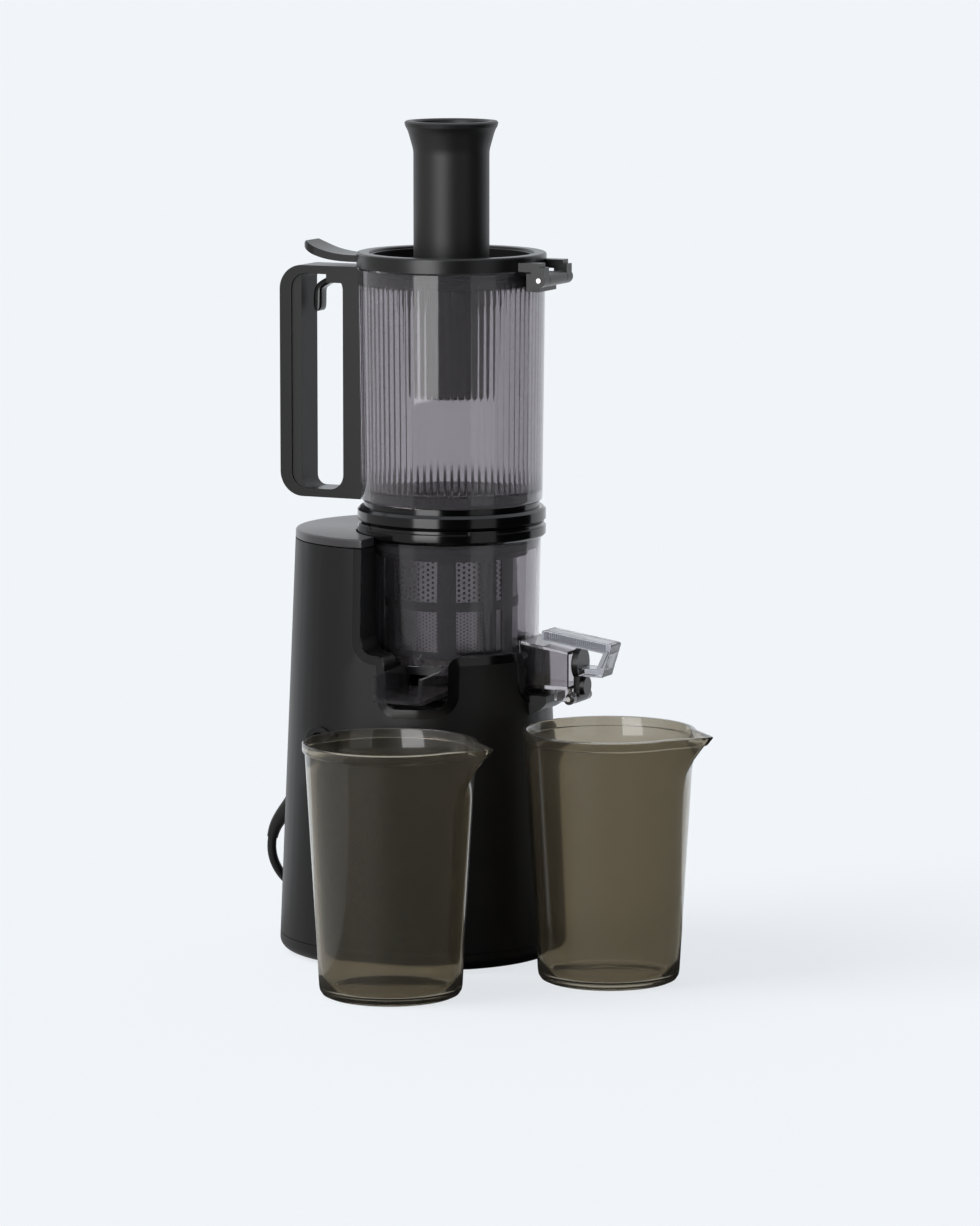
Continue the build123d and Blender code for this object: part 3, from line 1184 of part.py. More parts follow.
def make_pusher_tube():
    """Hollow pusher with a flared rim, closed at the bottom."""
    low = PUSHER_BOTTOM
    outer = Spline((PUSHER_R, PUSHER_NECK), (PUSHER_R + 1.6, PUSHER_NECK + 8),
                   (PUSHER_RIM_R - 0.6, PUSHER_TOP - 3.4), tangents=[(0, 1), (0.7, 1)])
    inner = Spline((PUSHER_MOUTH_R - 0.2, PUSHER_TOP - 1), (PUSHER_R - PUSHER_WALL + 0.5, PUSHER_NECK + 4),
                   (PUSHER_R - PUSHER_WALL, PUSHER_NECK - 8), tangents=[(-0.35, -1), (0, -1)])
    inside = PUSHER_R - PUSHER_WALL
    foot_inside = PUSHER_FOOT_R - PUSHER_WALL
    taper = GUIDE_BOTTOM - 6.0
    edges = [Line((0, low), (PUSHER_FOOT_R - 2, low)), Line((PUSHER_FOOT_R - 2, low), (PUSHER_FOOT_R, low + 2)),
             Line((PUSHER_FOOT_R, low + 2), (PUSHER_R, taper)), Line((PUSHER_R, taper), (PUSHER_R, PUSHER_NECK)),
             outer,
             Line(outer @ 1, (PUSHER_RIM_R, PUSHER_TOP - 1)),
             Line((PUSHER_RIM_R, PUSHER_TOP - 1), (PUSHER_RIM_R - 1, PUSHER_TOP)),
             Line((PUSHER_RIM_R - 1, PUSHER_TOP), (PUSHER_MOUTH_R + 0.8, PUSHER_TOP)),
             Line((PUSHER_MOUTH_R + 0.8, PUSHER_TOP), inner @ 0), inner,
             Line(inner @ 1, (inside, taper)), Line((inside, taper), (foot_inside, low + 4)),
             Line((foot_inside, low + 4), (0, low + 4)), Line((0, low + 4), (0, low))]
    return revolve(Plane.XZ * make_face(edges), Axis.Z)


# ---------------------------------------------------------------- pitchers
def beak(inset):
    """Pouring lip: a wedge that runs out of the wall at the rim."""
    top = make_face(Polyline((40, -BEAK_HALF + inset), (BEAK_REACH - 1.6 * inset, -1.0),
                             (BEAK_REACH - 1.6 * inset, 1.0), (40, BEAK_HALF - inset), close=True))
    foot_r = PITCHER_HIGH_R - inset - 3.0
    low = make_face(Polyline((40, -3.0 + inset * 0.5), (foot_r, -0.6), (foot_r, 0.6), (40, 3.0 - inset * 0.5),
                             close=True))
    height = PITCHER_H + (0 if inset == 0 else 2)
    return loft([Pos(0, 0, height) * top, Pos(0, 0, PITCHER_H - BEAK_DROP + inset) * low], ruled=True)


def make_pitcher(at):
    """Tapered pitcher with a rolled rim and a beak towards +X."""
    outer = lathe([(0, 0), (PITCHER_LOW_R - 5, 0), (PITCHER_LOW_R, 6), (PITCHER_HIGH_R, PITCHER_H - PITCHER_RIM_H),
                   (PITCHER_RIM_R, PITCHER_H - PITCHER_RIM_H + 1.5), (PITCHER_RIM_R, PITCHER_H), (0, PITCHER_H)])
    low_r = PITCHER_LOW_R - PITCHER_WALL
    inner = lathe([(0, PITCHER_FLOOR), (low_r - 3, PITCHER_FLOOR), (low_r, PITCHER_FLOOR + 5),
                   (PITCHER_HIGH_R - PITCHER_WALL, PITCHER_H + 1), (0, PITCHER_H + 1)])
    body = (outer + beak(0)) - inner - beak(PITCHER_WALL)
    return Pos(at[0], at[1], 0) * body


# ---------------------------------------------------------------- power cord
def cord_points():
    """Route of the cord from its gland to the coil, chosen by hand."""
    return [(-117.5, 0.0, 86.5), (-126.0, 0.4, 78.0), (-131.8, 1.2, 65.2), (-132.6, 3.0, 51.2),
            (-128.8, 8.5, 38.6), (-124.6, 19.5, 29.4), (-122.4, 33.5, 21.0), (-121.6, 50.0, 13.4),
            (-121.9, 68.0, 7.8), (-122.8, 85.5, 4.6), (-123.4, 101.5, 3.6)]


def tail_points():
    """Route of the cord from the coil to its plug."""
    return [(-121.0, 154.0, 5.0), (-113.6, 163.4, 4.4), (-103.4, 173.2, 4.6), (-90.9, 179.8, 5.6),
            (PLUG_AT[0] - PLUG_L / 2, PLUG_AT[1], PLUG_Z)]


def arc_radii(points):
    """Radius of the arc at each inner point: 0.45 of the shorter run over tan of half the turn."""
    radii = []
    for a, b, c in zip(points, points[1:], points[2:]):
        first, second = Vector(*b) - Vector(*a), Vector(*c) - Vector(*b)
        turn = first.get_angle(second)
        radii.append(0.45 * min(first.length, second.length) / tan(radians(turn / 2)))
    return radii


def cord_tube(points):
    """Round tube along straight runs joined by tangent arcs."""
    radii = arc_radii(points)
    path = FilletPolyline(*points, radius=radii)
    start = Plane(origin=path @ 0, z_dir=path % 0)
    tube = sweep(start * Circle(CORD_D / 2), path=path)
    print("cord radii", [round(r) for r in radii], "length", round(path.length, 1),
          "volume ratio", round(tube.volume / (pi * CORD_D ** 2 / 4 * path.length), 4))
    return tube


def make_cord_gland():
    """Short strain relief in the rear of the base, pointing down and outwards."""
    x = BASE_REAR_X - base_r(CORD_EXIT_Z)
    flange = cyl_x(CORD_D / 2 + 3.0, x - 1.0, x + 5.0, 0, CORD_EXIT_Z)
    lip = cyl_x(CORD_D / 2 + 4.6, x - 2.2, x - 0.4, 0, CORD_EXIT_Z)
    end_x, end_y, end_z = cord_points()[0]
    lean = radians(GLAND_TILT)
    middle = (end_x + GLAND_L / 2 * cos(lean), end_y, end_z + GLAND_L / 2 * sin(lean))
    cone = Pos(*middle) * Rot(0, -90 - GLAND_TILT, 0) * Cone(CORD_D / 2 + 2.6, CORD_D / 2 + 0.9, GLAND_L)
    return flange + lip + cone


def make_cord_coil():
    """Outer shape of the put-away turns, lying on the table."""
    x, y = COIL_CENTRE
    half = CORD_D + 0.2
    return ring(COIL_MEAN_R + half, COIL_MEAN_R - half, 0.1, 2 * CORD_D + 0.4, x, y)


def make_power_plug():
    """Two-pin plug lying flat beside the coil."""
    x, y = PLUG_AT
    body = Pos(x, y, PLUG_Z) * Box(PLUG_L, 24.0, 2 * PLUG_Z - 0.2)
    body = fillet(body.edges().filter_by(Axis.X), 5.0)
    body = fillet(body.faces().sort_by(Axis.X)[0].edges(), 2.5)
    for side in (-1, 1):
        pin = cyl_x(2.0, x + PLUG_L / 2 - 1, x + PLUG_L / 2 + PLUG_PIN_L, y + 9.3 * side, PLUG_Z)
        body = body + pin
    return body


def make_cord_tie():
    """Band around the coil."""
    x, y = COIL_CENTRE
    half = CORD_D + 0.2
    outer = block(x - 4, x + 4, y - COIL_MEAN_R - half - 1.2, y - COIL_MEAN_R + half + 1.2, 0.0, 2 * CORD_D + 1.6)
    hollow = ring(COIL_MEAN_R + half, COIL_MEAN_R - half, 0.1, 2 * CORD_D + 0.4, x, y)
    return outer - hollow


# ---------------------------------------------------------------- all sub-parts
def build():
    """Every sub-part by name."""
    trim = make_saddle_trim()
    parts = {
        "base_housing": make_base_housing(trim),
        "saddle_trim": trim,
        "rear_cap": make_rear_cap(),
        "bottom_tray": make_bottom_tray(),
        "rubber_feet": make_rubber_feet(),
        "tray_screws": make_tray_screws(),
        "switch_bezel": make_switch_bezel(),
        "switch_rocker": make_switch_rocker(),
        "motor_frame": make_motor_frame(),
        "motor_stator": make_motor_stator(),
        "motor_rotor": make_motor_rotor(),
        "cooling_fan": make_cooling_fan(),
        "gear_housing": make_gear_housing(),
        "ring_gear": make_ring_gear(),
        "sun_gear": make_sun_gear(),
        "planet_carrier": make_planet_carrier(),
        "shaft_seal": make_shaft_seal(),
        "control_board": make_control_board(),
        "juicer_bowl": make_juicer_bowl(),
        "bowl_seal": make_bowl_seal(),
        "pulp_chute": make_pulp_chute(),
        "lever_pin": make_lever_pin(),
        "outlet_cap": make_outlet_cap(),
        "pulp_lever": make_pulp_lever(),
        "strainer_frame": make_strainer_frame(),
        "strainer_mesh": make_strainer_mesh(),
        "brush_holder": make_brush_holder(),
        "wiper_blades": make_wiper_blades(),
        "brush_pinion": make_brush_pinion(),
        "brush_drive_gear": make_brush_drive_gear(),
        "auger": make_auger(),
        "hopper_collar": make_hopper_collar(),
        "hopper_floor": make_hopper_floor(),
        "hopper_barrel": make_hopper_barrel(),
        "hinge_bracket": make_hinge_bracket(),
        "handle_frame": make_handle_frame(),
        "handle_grip": make_handle_grip(),
        "handle_trigger": make_handle_trigger(),
        "trigger_pin": make_trigger_pin(),
        "trigger_spring": make_trigger_spring(),
        "lid_ring": make_lid_ring(),
        "lid_dish": make_lid_dish(),
        "lid_gasket": make_lid_gasket(),
        "hinge_pin": make_hinge_pin(),
        "pusher_guide": make_pusher_guide(),
        "pusher_tube": make_pusher_tube(),
        "juice_pitcher": make_pitcher(JUICE_PITCHER_AT),
        "pulp_pitcher": make_pitcher(PULP_PITCHER_AT),
        "cord_gland": make_cord_gland(),
        "power_cord": cord_tube(cord_points()),
        "cord_coil": make_cord_coil(),
        "cord_tail": cord_tube(tail_points()),
        "cord_tie": make_cord_tie(),
        "power_plug": make_power_plug(),
    }
    for k in range(PLANETS):
        parts[f"planet_gear_{k + 1}"] = make_planet_gear(k)
    return parts


CORD_PARTS = ("cord_gland", "power_cord", "cord_coil", "cord_tail", "cord_tie", "power_plug")


def row_shift(parts):
    """Move that puts the origin at the bottom centre of the set without its cord."""
    low = [inf, inf]
    high = [-inf, -inf]
    for name, part in parts.items():
        if name in CORD_PARTS:
            continue
        box = part.bounding_box()
        for k, (a, b) in enumerate(((box.min.X, box.max.X), (box.min.Y, box.max.Y))):
            low[k] = min(low[k], a)
            high[k] = max(high[k], b)
    return -(low[0] + high[0]) / 2, -(low[1] + high[1]) / 2


def main():
    """Write one STEP file for each sub-part."""
    parts = build()
    dx, dy = row_shift(parts)
    print("row shift", round(dx, 3), round(dy, 3))
    os.makedirs("parts", exist_ok=True)
    for name, part in parts.items():
        export_step(Pos(dx, dy, 0) * part, f"parts/{name}.step")


if __name__ == "__main__":
    main()
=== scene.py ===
"""Cold press juicer with two pitchers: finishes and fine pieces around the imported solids.

Everything is in metres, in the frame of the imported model: +Z up, the table at z = 0, the juice
spout towards -Y, the pulp outlet and the lid hinge on +X, the handle and the cord on -X.
"""
import json
from math import copysign, cos, pi, radians, sin, tau

import bmesh
import bpy
from bpy.props import FloatProperty, FloatVectorProperty, IntProperty, PointerProperty
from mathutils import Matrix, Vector


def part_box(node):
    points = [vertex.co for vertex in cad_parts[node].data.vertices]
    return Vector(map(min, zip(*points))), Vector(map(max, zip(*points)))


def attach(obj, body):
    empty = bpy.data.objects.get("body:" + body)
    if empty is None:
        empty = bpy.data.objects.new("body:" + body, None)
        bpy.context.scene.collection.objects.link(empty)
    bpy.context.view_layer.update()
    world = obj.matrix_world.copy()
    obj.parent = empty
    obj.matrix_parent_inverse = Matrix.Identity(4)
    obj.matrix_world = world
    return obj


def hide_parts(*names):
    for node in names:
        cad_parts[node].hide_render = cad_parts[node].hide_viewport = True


bl_info = {
    "name": "Cold Press Juicer",
    "version": (1, 0, 0),
    "blender": (4, 5, 0),
    "location": "3D View > Sidebar > Juicer",
    "description": "Dresses the solids of a cold press juicer with finishes and fine pieces",
    "category": "Object",
}

MM = 0.001
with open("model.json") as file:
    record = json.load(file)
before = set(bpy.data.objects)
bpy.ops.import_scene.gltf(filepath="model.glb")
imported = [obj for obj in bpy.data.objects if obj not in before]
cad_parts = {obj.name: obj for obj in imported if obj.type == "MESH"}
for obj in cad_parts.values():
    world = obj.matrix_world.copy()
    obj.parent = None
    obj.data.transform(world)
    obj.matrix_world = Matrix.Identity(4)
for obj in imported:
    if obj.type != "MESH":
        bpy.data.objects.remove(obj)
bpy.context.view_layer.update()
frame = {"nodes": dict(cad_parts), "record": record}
BEHAVIOUR = frame["record"]["behaviour"]
JOINTS = {joint["name"]: joint for joint in BEHAVIOUR["joints"]}
BOWL_AXIS = Vector(JOINTS["auger_spin"]["pos_m"][:2] + [0.0])

# the place that the camera looks from, measured from the bowl's axis
VIEW_TURN = 25.0          # degrees round from the front towards the pulp outlet
VIEW_PITCH = 8.152        # degrees down
VIEW_BACK = 3774 * MM     # level distance
VIEW_SIDE = 24.585 * MM   # step to the right of the axis
VIEW_HEIGHT = 762 * MM
VIEW_LENS = 173.78        # millimetres, for the sensor's height below
VIEW_SENSOR = 36
VIEW_REACH = 200          # farthest thing that is drawn


# ---------------------------------------------------------------- settings
def colour_setting(name, description, default):
    """Setting that holds a scene-linear colour."""
    return FloatVectorProperty(name=name, description=description, subtype="COLOR", min=0, max=1,
                               default=default)


def length_setting(name, description, default, **limits):
    """Setting that holds a length in metres."""
    return FloatProperty(name=name, description=description, default=default, unit="LENGTH",
                         precision=5, **limits)


class JuicerFinishes(bpy.types.PropertyGroup):
    """Colours of the juicer's plastics."""

    shell: colour_setting("Shell", "Matte plastic of the base", (0.0065, 0.0065, 0.0072))
    trim: colour_setting("Trim", "Glossy plastic of the trim and rings", (0.0045, 0.0045, 0.005))
    smoke: colour_setting(
        "Smoke", "What one wall of the bowl or hopper lets through", (0.56, 0.533, 0.56))
    pitcher: colour_setting(
        "Pitcher", "What one wall of a pitcher lets through", (0.36, 0.322, 0.248))
    backdrop: colour_setting(
        "Backdrop", "Colour of the backdrop and the table", (0.879, 0.913, 0.947))


class JuicerSizes(bpy.types.PropertyGroup):
    """Sizes of the fine pieces."""

    flute_count: IntProperty(
        name="Flutes", description="Ribs around the hopper", default=81, min=24, max=160)
    flute_depth: length_setting(
        "Flute depth", "How deep the valleys between the ribs are", 0.55 * MM, min=0.0, max=1.0 * MM)
    flute_low: length_setting("Flute start", "Height where the ribs start", 303 * MM)
    flute_high: length_setting("Flute end", "Height where the ribs end", 434 * MM)
    hopper_wall: length_setting("Hopper wall", "Wall of the hopper tube", 3.0 * MM)
    edge_share: FloatProperty(
        name="Edge rounding", description="Share of each piece's own edge rounding", default=1.0,
        min=0.1, max=1.5)
    coarse_pitch: length_setting(
        "Coarse sieve", "From hole to hole in the upper sieve sheets", 3.3 * MM, min=2.0 * MM)
    fine_pitch: length_setting(
        "Fine sieve", "From hole to hole in the lower sieve sheets", 2.2 * MM, min=1.6 * MM)
    lever_slope: FloatProperty(
        name="Lever slope", description="How far the lever's top bar falls over its length",
        default=0.14)
    pitcher_wall: length_setting("Pitcher wall", "Wall of the pitchers", 2.2 * MM)
    beak_half_angle: FloatProperty(
        name="Beak width", description="Half the angle that a pitcher's lip takes of its rim",
        default=radians(27), subtype="ANGLE")


# ---------------------------------------------------------------- node helpers
NODE_STEP = (220, -180)   # from one grid place to the next in a node editor


def set_inputs(node, **values):
    """Default values of a node's inputs, by name with _ for a space."""
    for name, value in values.items():
        node.inputs[name.replace("_", " ")].default_value = value


def add_node(tree, kind, place, **values):
    """A node at a grid place, with properties and default inputs set by name."""
    node = tree.nodes.new(kind)
    node.location = (place[0] * NODE_STEP[0], place[1] * NODE_STEP[1])
    for name, value in values.items():
        if hasattr(node, name):
            setattr(node, name, value)
        else:
            set_inputs(node, **{name: value})
    return node


def link_all(tree, *links):
    """Links, each given as (node, output, next node, input)."""
    for node, output, follower, entry in links:
        tree.links.new(node.outputs[output], follower.inputs[entry])


def fresh_tree(owner):
    """The emptied node tree of a world or a material."""
    owner.use_nodes = True
    owner.node_tree.nodes.clear()
    return owner.node_tree


def new_group(name, inputs, output, output_kind):
    """An empty shader group with float inputs (name, default) and one output."""
    tree = bpy.data.node_groups.new(name, "ShaderNodeTree")
    for label, default in inputs:
        socket = tree.interface.new_socket(label, in_out="INPUT", socket_type="NodeSocketFloat")
        socket.default_value = default
    tree.interface.new_socket(output, in_out="OUTPUT", socket_type=output_kind)
    return tree, add_node(tree, "NodeGroupInput", (0, 0)), add_node(tree, "NodeGroupOutput", (6, 0))


def moulded_grain():
    """Group: the fine spark-eroded grain of moulded plastic, as a height."""
    name = "Moulded Grain"
    if name in bpy.data.node_groups:
        return bpy.data.node_groups[name]
    tree, start, end = new_group(
        name, [("Grains per metre", 1600.0), ("Waviness", 0.15)], "Height", "NodeSocketFloat")
    place = add_node(tree, "ShaderNodeTexCoord", (1, 1))
    grain = add_node(tree, "ShaderNodeTexNoise", (2, 0), Detail=2.0, Roughness=0.55)
    waves = add_node(tree, "ShaderNodeTexNoise", (2, 2), Scale=24.0, Detail=1.0)
    share = add_node(tree, "ShaderNodeMath", (3, 2), operation="MULTIPLY")
    total = add_node(tree, "ShaderNodeMath", (4, 0), operation="ADD")
    link_all(tree, (place, "Object", grain, "Vector"), (place, "Object", waves, "Vector"),
             (start, "Grains per metre", grain, "Scale"), (waves, "Fac", share, 0),
             (start, "Waviness", share, 1), (grain, "Fac", total, 0), (share, 0, total, 1),
             (total, 0, end, "Height"))
    return tree


def handled_sheen():
    """Group: slow changes of gloss where hands and cloths have been, as a roughness."""
    name = "Handled Sheen"
    if name in bpy.data.node_groups:
        return bpy.data.node_groups[name]
    tree, start, end = new_group(
        name, [("Roughness", 0.4), ("Change", 0.05)], "Roughness", "NodeSocketFloat")
    place = add_node(tree, "ShaderNodeTexCoord", (1, 1))
    patches = add_node(tree, "ShaderNodeTexNoise", (2, 1), Scale=14.0, Detail=4.0, Roughness=0.6)
    centred = add_node(tree, "ShaderNodeMath", (3, 1), operation="SUBTRACT")
    centred.inputs[1].default_value = 0.5
    scaled = add_node(tree, "ShaderNodeMath", (4, 1), operation="MULTIPLY")
    total = add_node(tree, "ShaderNodeMath", (5, 0), operation="ADD")
    link_all(tree, (place, "Object", patches, "Vector"), (patches, "Fac", centred, 0),
             (centred, 0, scaled, 0), (start, "Change", scaled, 1), (scaled, 0, total, 0),
             (start, "Roughness", total, 1), (total, 0, end, "Roughness"))
    return tree


def use_group(tree, group, place, **values):
    """A shader group placed in a material's tree."""
    node = add_node(tree, "ShaderNodeGroup", place, node_tree=group)
    set_inputs(node, **values)
    return node


# ---------------------------------------------------------------- finishes
FLECK_LIFT = 0.0004       # least difference between a plastic and its flecks
VEIL_ROUGHNESS = 0.42
PLASTIC_IOR = 1.5


def grained(name, roughness, change, grains, bump, depth):
    """A new material with grain and slow changes of gloss: its tree, its shader and the grain."""
    material = bpy.data.materials.new(name)
    material.use_nodes = True
    tree = material.node_tree
    shader = tree.nodes["Principled BSDF"]
    grain = use_group(tree, moulded_grain(), (-3, 2), Grains_per_metre=grains)
    sheen = use_group(tree, handled_sheen(), (-3, 1), Roughness=roughness, Change=change)
    relief = add_node(tree, "ShaderNodeBump", (-1, 2), Strength=bump, Distance=depth)
    link_all(tree, (grain, "Height", relief, "Height"), (relief, "Normal", shader, "Normal"),
             (sheen, "Roughness", shader, "Roughness"))
    return tree, shader, grain


def moulded(name, colour, roughness, change=0.05, grains=1600.0, bump=0.02, specular=0.5, fleck=0.25):
    """Opaque moulded plastic or rubber with grain, slow gloss changes and a little fleck."""
    tree, shader, grain = grained(name, roughness, change, grains, bump, depth=0.2 * MM)
    set_inputs(shader, Specular_IOR_Level=specular)
    flecks = (min(1.0, c * (1 + fleck) + FLECK_LIFT) for c in colour)
    tint = add_node(tree, "ShaderNodeMix", (-1, 0), data_type="RGBA")
    set_inputs(tint, A=(*colour, 1), B=(*flecks, 1))
    link_all(tree, (grain, "Height", tint, "Factor"), (tint, "Result", shader, "Base Color"))


def clear(name, tint, roughness=0.03, clarity=1.0, veil=0.0):
    """Transparent moulded plastic with a faint ripple.

    Clarity under 1 leaves a little haze in it, and veil is a soft sheen of fine scuffs on top.
    """
    shader = grained(name, roughness, change=0.02, grains=55.0, bump=0.02, depth=0.3 * MM)[1]
    set_inputs(shader, Base_Color=(*tint, 1), Transmission_Weight=clarity, Coat_Weight=veil,
               Coat_Roughness=VEIL_ROUGHNESS, IOR=PLASTIC_IOR)


def metal(name, colour, roughness):
    """Brushed metal."""
    shader = grained(name, roughness, change=0.15, grains=900.0, bump=0.05, depth=0.1 * MM)[1]
    set_inputs(shader, Metallic=1.0, Base_Color=(*colour, 1))


def finishes():
    """Every material of the juicer by name, made once."""
    known = bpy.data.materials
    if "shell plastic" in known:
        return known
    colours = bpy.context.scene.juicer_finishes
    moulded("shell plastic", colours.shell, 0.42, bump=0.10, specular=0.4)
    moulded("tower top plastic", (0.06, 0.057, 0.061), 0.3, bump=0.05)
    moulded("gloss trim", colours.trim, 0.14, change=0.03, grains=300.0, bump=0.004)
    moulded("lid plastic", (0.013, 0.013, 0.0135), 0.3, grains=900.0, bump=0.01)
    moulded("satin plastic", (0.009, 0.009, 0.0095), 0.3, change=0.06, grains=1400.0, bump=0.03)
    moulded("pusher plastic", (0.014, 0.0135, 0.0145), 0.46, grains=1400.0, bump=0.03)
    moulded("grip rubber", (0.012, 0.012, 0.012), 0.55, change=0.08, grains=1800.0, bump=0.12)
    moulded("cord rubber", (0.008, 0.008, 0.008), 0.5, change=0.06, grains=1500.0, bump=0.08)
    moulded("strainer plastic", (0.012, 0.012, 0.014), 0.35, grains=1200.0, bump=0.03)
    moulded("auger plastic", (0.01, 0.01, 0.013), 0.3, grains=1200.0, bump=0.03)
    moulded("wiper silicone", (0.03, 0.03, 0.035), 0.5, grains=1200.0, bump=0.03)
    moulded("gear nylon", (0.6, 0.57, 0.48), 0.45, grains=900.0, bump=0.05)
    moulded("stator iron", (0.09, 0.09, 0.1), 0.6, grains=700.0, bump=0.1)
    moulded("circuit board", (0.01, 0.09, 0.03), 0.35, grains=900.0, bump=0.05)
    metal("strainer steel", (0.42, 0.42, 0.42), 0.35)
    metal("pin steel", (0.62, 0.61, 0.6), 0.28)
    clear("smoke plastic", colours.smoke, clarity=0.965)
    clear("pitcher plastic", colours.pitcher, roughness=0.07, clarity=0.965, veil=0.6)
    clear("lever plastic", (0.46, 0.46, 0.49), roughness=0.06, clarity=0.94)
    return known


NODE_FINISH = {
    "shell plastic": ["base_housing", "bottom_tray"],
    "tower top plastic": ["rear_cap"],
    "gloss trim": ["saddle_trim", "hopper_collar", "hopper_floor", "switch_bezel", "handle_trigger"],
    "lid plastic": ["lid_ring", "lid_dish", "hinge_bracket", "outlet_cap", "switch_rocker"],
    "satin plastic": ["handle_frame"],
    "pusher plastic": ["pusher_tube"],
    "grip rubber": ["handle_grip", "rubber_feet", "lid_gasket", "pusher_guide", "bowl_seal",
                    "shaft_seal"],
    "cord rubber": ["cord_gland", "power_cord", "cord_coil", "cord_tail", "cord_tie", "power_plug"],
    "smoke plastic": ["juicer_bowl", "hopper_barrel", "pulp_chute"],
    "pitcher plastic": ["juice_pitcher", "pulp_pitcher"],
    "lever plastic": ["pulp_lever"],
    "strainer plastic": ["strainer_frame", "brush_holder"],
    "strainer steel": ["strainer_mesh"],
    "wiper silicone": ["wiper_blades"],
    "auger plastic": ["auger"],
    "pin steel": ["tray_screws", "lever_pin", "hinge_pin", "trigger_pin", "trigger_spring",
                  "planet_carrier", "motor_rotor", "motor_frame"],
    "stator iron": ["motor_stator"],
    "gear nylon": ["sun_gear", "planet_gear_1", "planet_gear_2", "planet_gear_3", "ring_gear",
                   "cooling_fan", "gear_housing", "brush_pinion", "brush_drive_gear"],
    "circuit board": ["control_board"],
}
FINISH_OF = {node: finish for finish, nodes in NODE_FINISH.items() for node in nodes}
BODY_OF = {node: body for body, nodes in BEHAVIOUR["bodies"].items() for node in nodes}


# ---------------------------------------------------------------- mesh helpers
def put(name, data):
    """A new object at the scene's origin."""
    item = bpy.data.objects.new(name, data)
    bpy.context.scene.collection.objects.link(item)
    return item


def new_piece(name, mesh, finish):
    """An object with one material."""
    mesh.materials.clear()
    mesh.materials.append(finishes()[finish])
    return put(name, mesh)


def plain_mesh(bm, name):
    """Mesh data from a bmesh, which is used up."""
    mesh = bpy.data.meshes.new(name)
    bm.to_mesh(mesh)
    bm.free()
    return mesh


def smoothed(mesh, smooth_angle):
    """The mesh with smooth shading up to an angle in degrees."""
    mesh.polygons.foreach_set("use_smooth", [True] * len(mesh.polygons))
    mesh.set_sharp_from_angle(angle=radians(smooth_angle))
    return mesh


def mesh_from(bm, name, smooth_angle=30.0, turn_faces=True):
    """Smoothed mesh data from a bmesh. A solid's faces already point outwards."""
    if turn_faces:
        bmesh.ops.recalc_face_normals(bm, faces=bm.faces)
    return smoothed(plain_mesh(bm, name), smooth_angle)


def made_plain(piece):
    """The piece with its modifiers worked out and taken off."""
    evaluated = piece.evaluated_get(bpy.context.evaluated_depsgraph_get())
    mesh = bpy.data.meshes.new_from_object(evaluated)
    piece.modifiers.clear()
    piece.data = mesh
    return piece


def flat_shaded(piece):
    """The piece with its large faces shaded flat beside their rounded edges."""
    piece.modifiers.new("shading", "WEIGHTED_NORMAL").keep_sharp = True
    return made_plain(piece)


def solid_box(node):
    """Lowest and highest corner of a solid."""
    return [Vector(corner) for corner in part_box(node)]


def stands_for(piece, node):
    """The piece takes the place and body of a solid."""
    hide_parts(node)
    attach(piece, BODY_OF[node])


def grid_faces(bm, rows, closed=False):
    """Quads between rows of equally many vertices."""
    for low, high in zip(rows, rows[1:]):
        count = len(low)
        for k in range(count if closed else count - 1):
            n = (k + 1) % count
            bm.faces.new((low[k], low[n], high[n], high[k]))


def bar_faces(bm, rows):
    """Closed skin round the rows with a cap at each end."""
    grid_faces(bm, rows, closed=True)
    bm.faces.new(rows[0])
    bm.faces.new(rows[-1])


# ---------------------------------------------------------------- stage
TABLE_REACH = 60.0        # so that the table's far edge lies above the picture
TABLE_GLOW = 0.80         # share of the table's look that no lamp changes
TABLE_LIT = 0.22          # share that the lamps light
TABLE_BOUNCE = 0.35       # how pale the table is for the light that it throws back
STUDIO_BRIGHT_SIDE = (-0.75, 0.45, 0.5)

# cards round the juicer: name, from turn to turn, (distance, height) points, tone.
# They are seen in its gloss alone. A turn is in degrees to the right of the camera.
SURROUND = ((0.05, 0.0004), (1.5, 0.0004), (1.5, 1.8))
STUDIO_CARDS = (
    ("left wall", -125, -48, SURROUND, 0.42),
    ("table under the strip box", -48, -15, ((0.05, 0.0004), (1.5, 0.0004), (1.5, 0.07)), 0.03),
    ("strip box", -46, -16, ((1.5, 0.07), (1.5, 1.8)), 4.6),
    ("front flag", -15, 24, SURROUND, 0.01),
    ("table under the right wall", 24, 54, ((0.05, 0.0004), (0.8, 0.0004), (0.8, 0.05)), 0.015),
    ("right wall", 24, 54, ((0.8, 0.05), (0.8, 1.4)), 0.5),
    ("right flag", 54, 112, SURROUND, 0.012),
)
CARD_STEPS = 12
CARD_UNSEEN_BY = ("camera", "diffuse", "transmission", "shadow", "volume_scatter")


class JUICER_OT_stage(bpy.types.Operator):
    """Camera, table, backdrop and studio lights"""

    bl_idname = "juicer.stage"
    bl_label = "Stage"

    def execute(self, context):
        place_camera()
        light_world()
        lay_table()
        soft_key("key light", turn=-78, height=44, strength=2.4, spread=40)
        for name, start, end, path, tone in STUDIO_CARDS:
            gloss_card(name, start, end, path, tone)
        context.scene.view_settings.view_transform = "Standard"
        return {"FINISHED"}


def place_camera():
    """Camera where the object is seen from."""
    turn = radians(VIEW_TURN)
    across = Vector((cos(turn), sin(turn), 0))
    away = Vector((-sin(turn), cos(turn), 0))
    data = bpy.data.cameras.new("camera")
    data.sensor_fit = "VERTICAL"
    data.sensor_height = VIEW_SENSOR
    data.lens = VIEW_LENS
    data.clip_end = VIEW_REACH
    camera = put("camera", data)
    camera.location = BOWL_AXIS + across * VIEW_SIDE - away * VIEW_BACK + Vector((0, 0, VIEW_HEIGHT))
    camera.rotation_euler = (radians(90 - VIEW_PITCH), 0, turn)
    bpy.context.scene.camera = camera


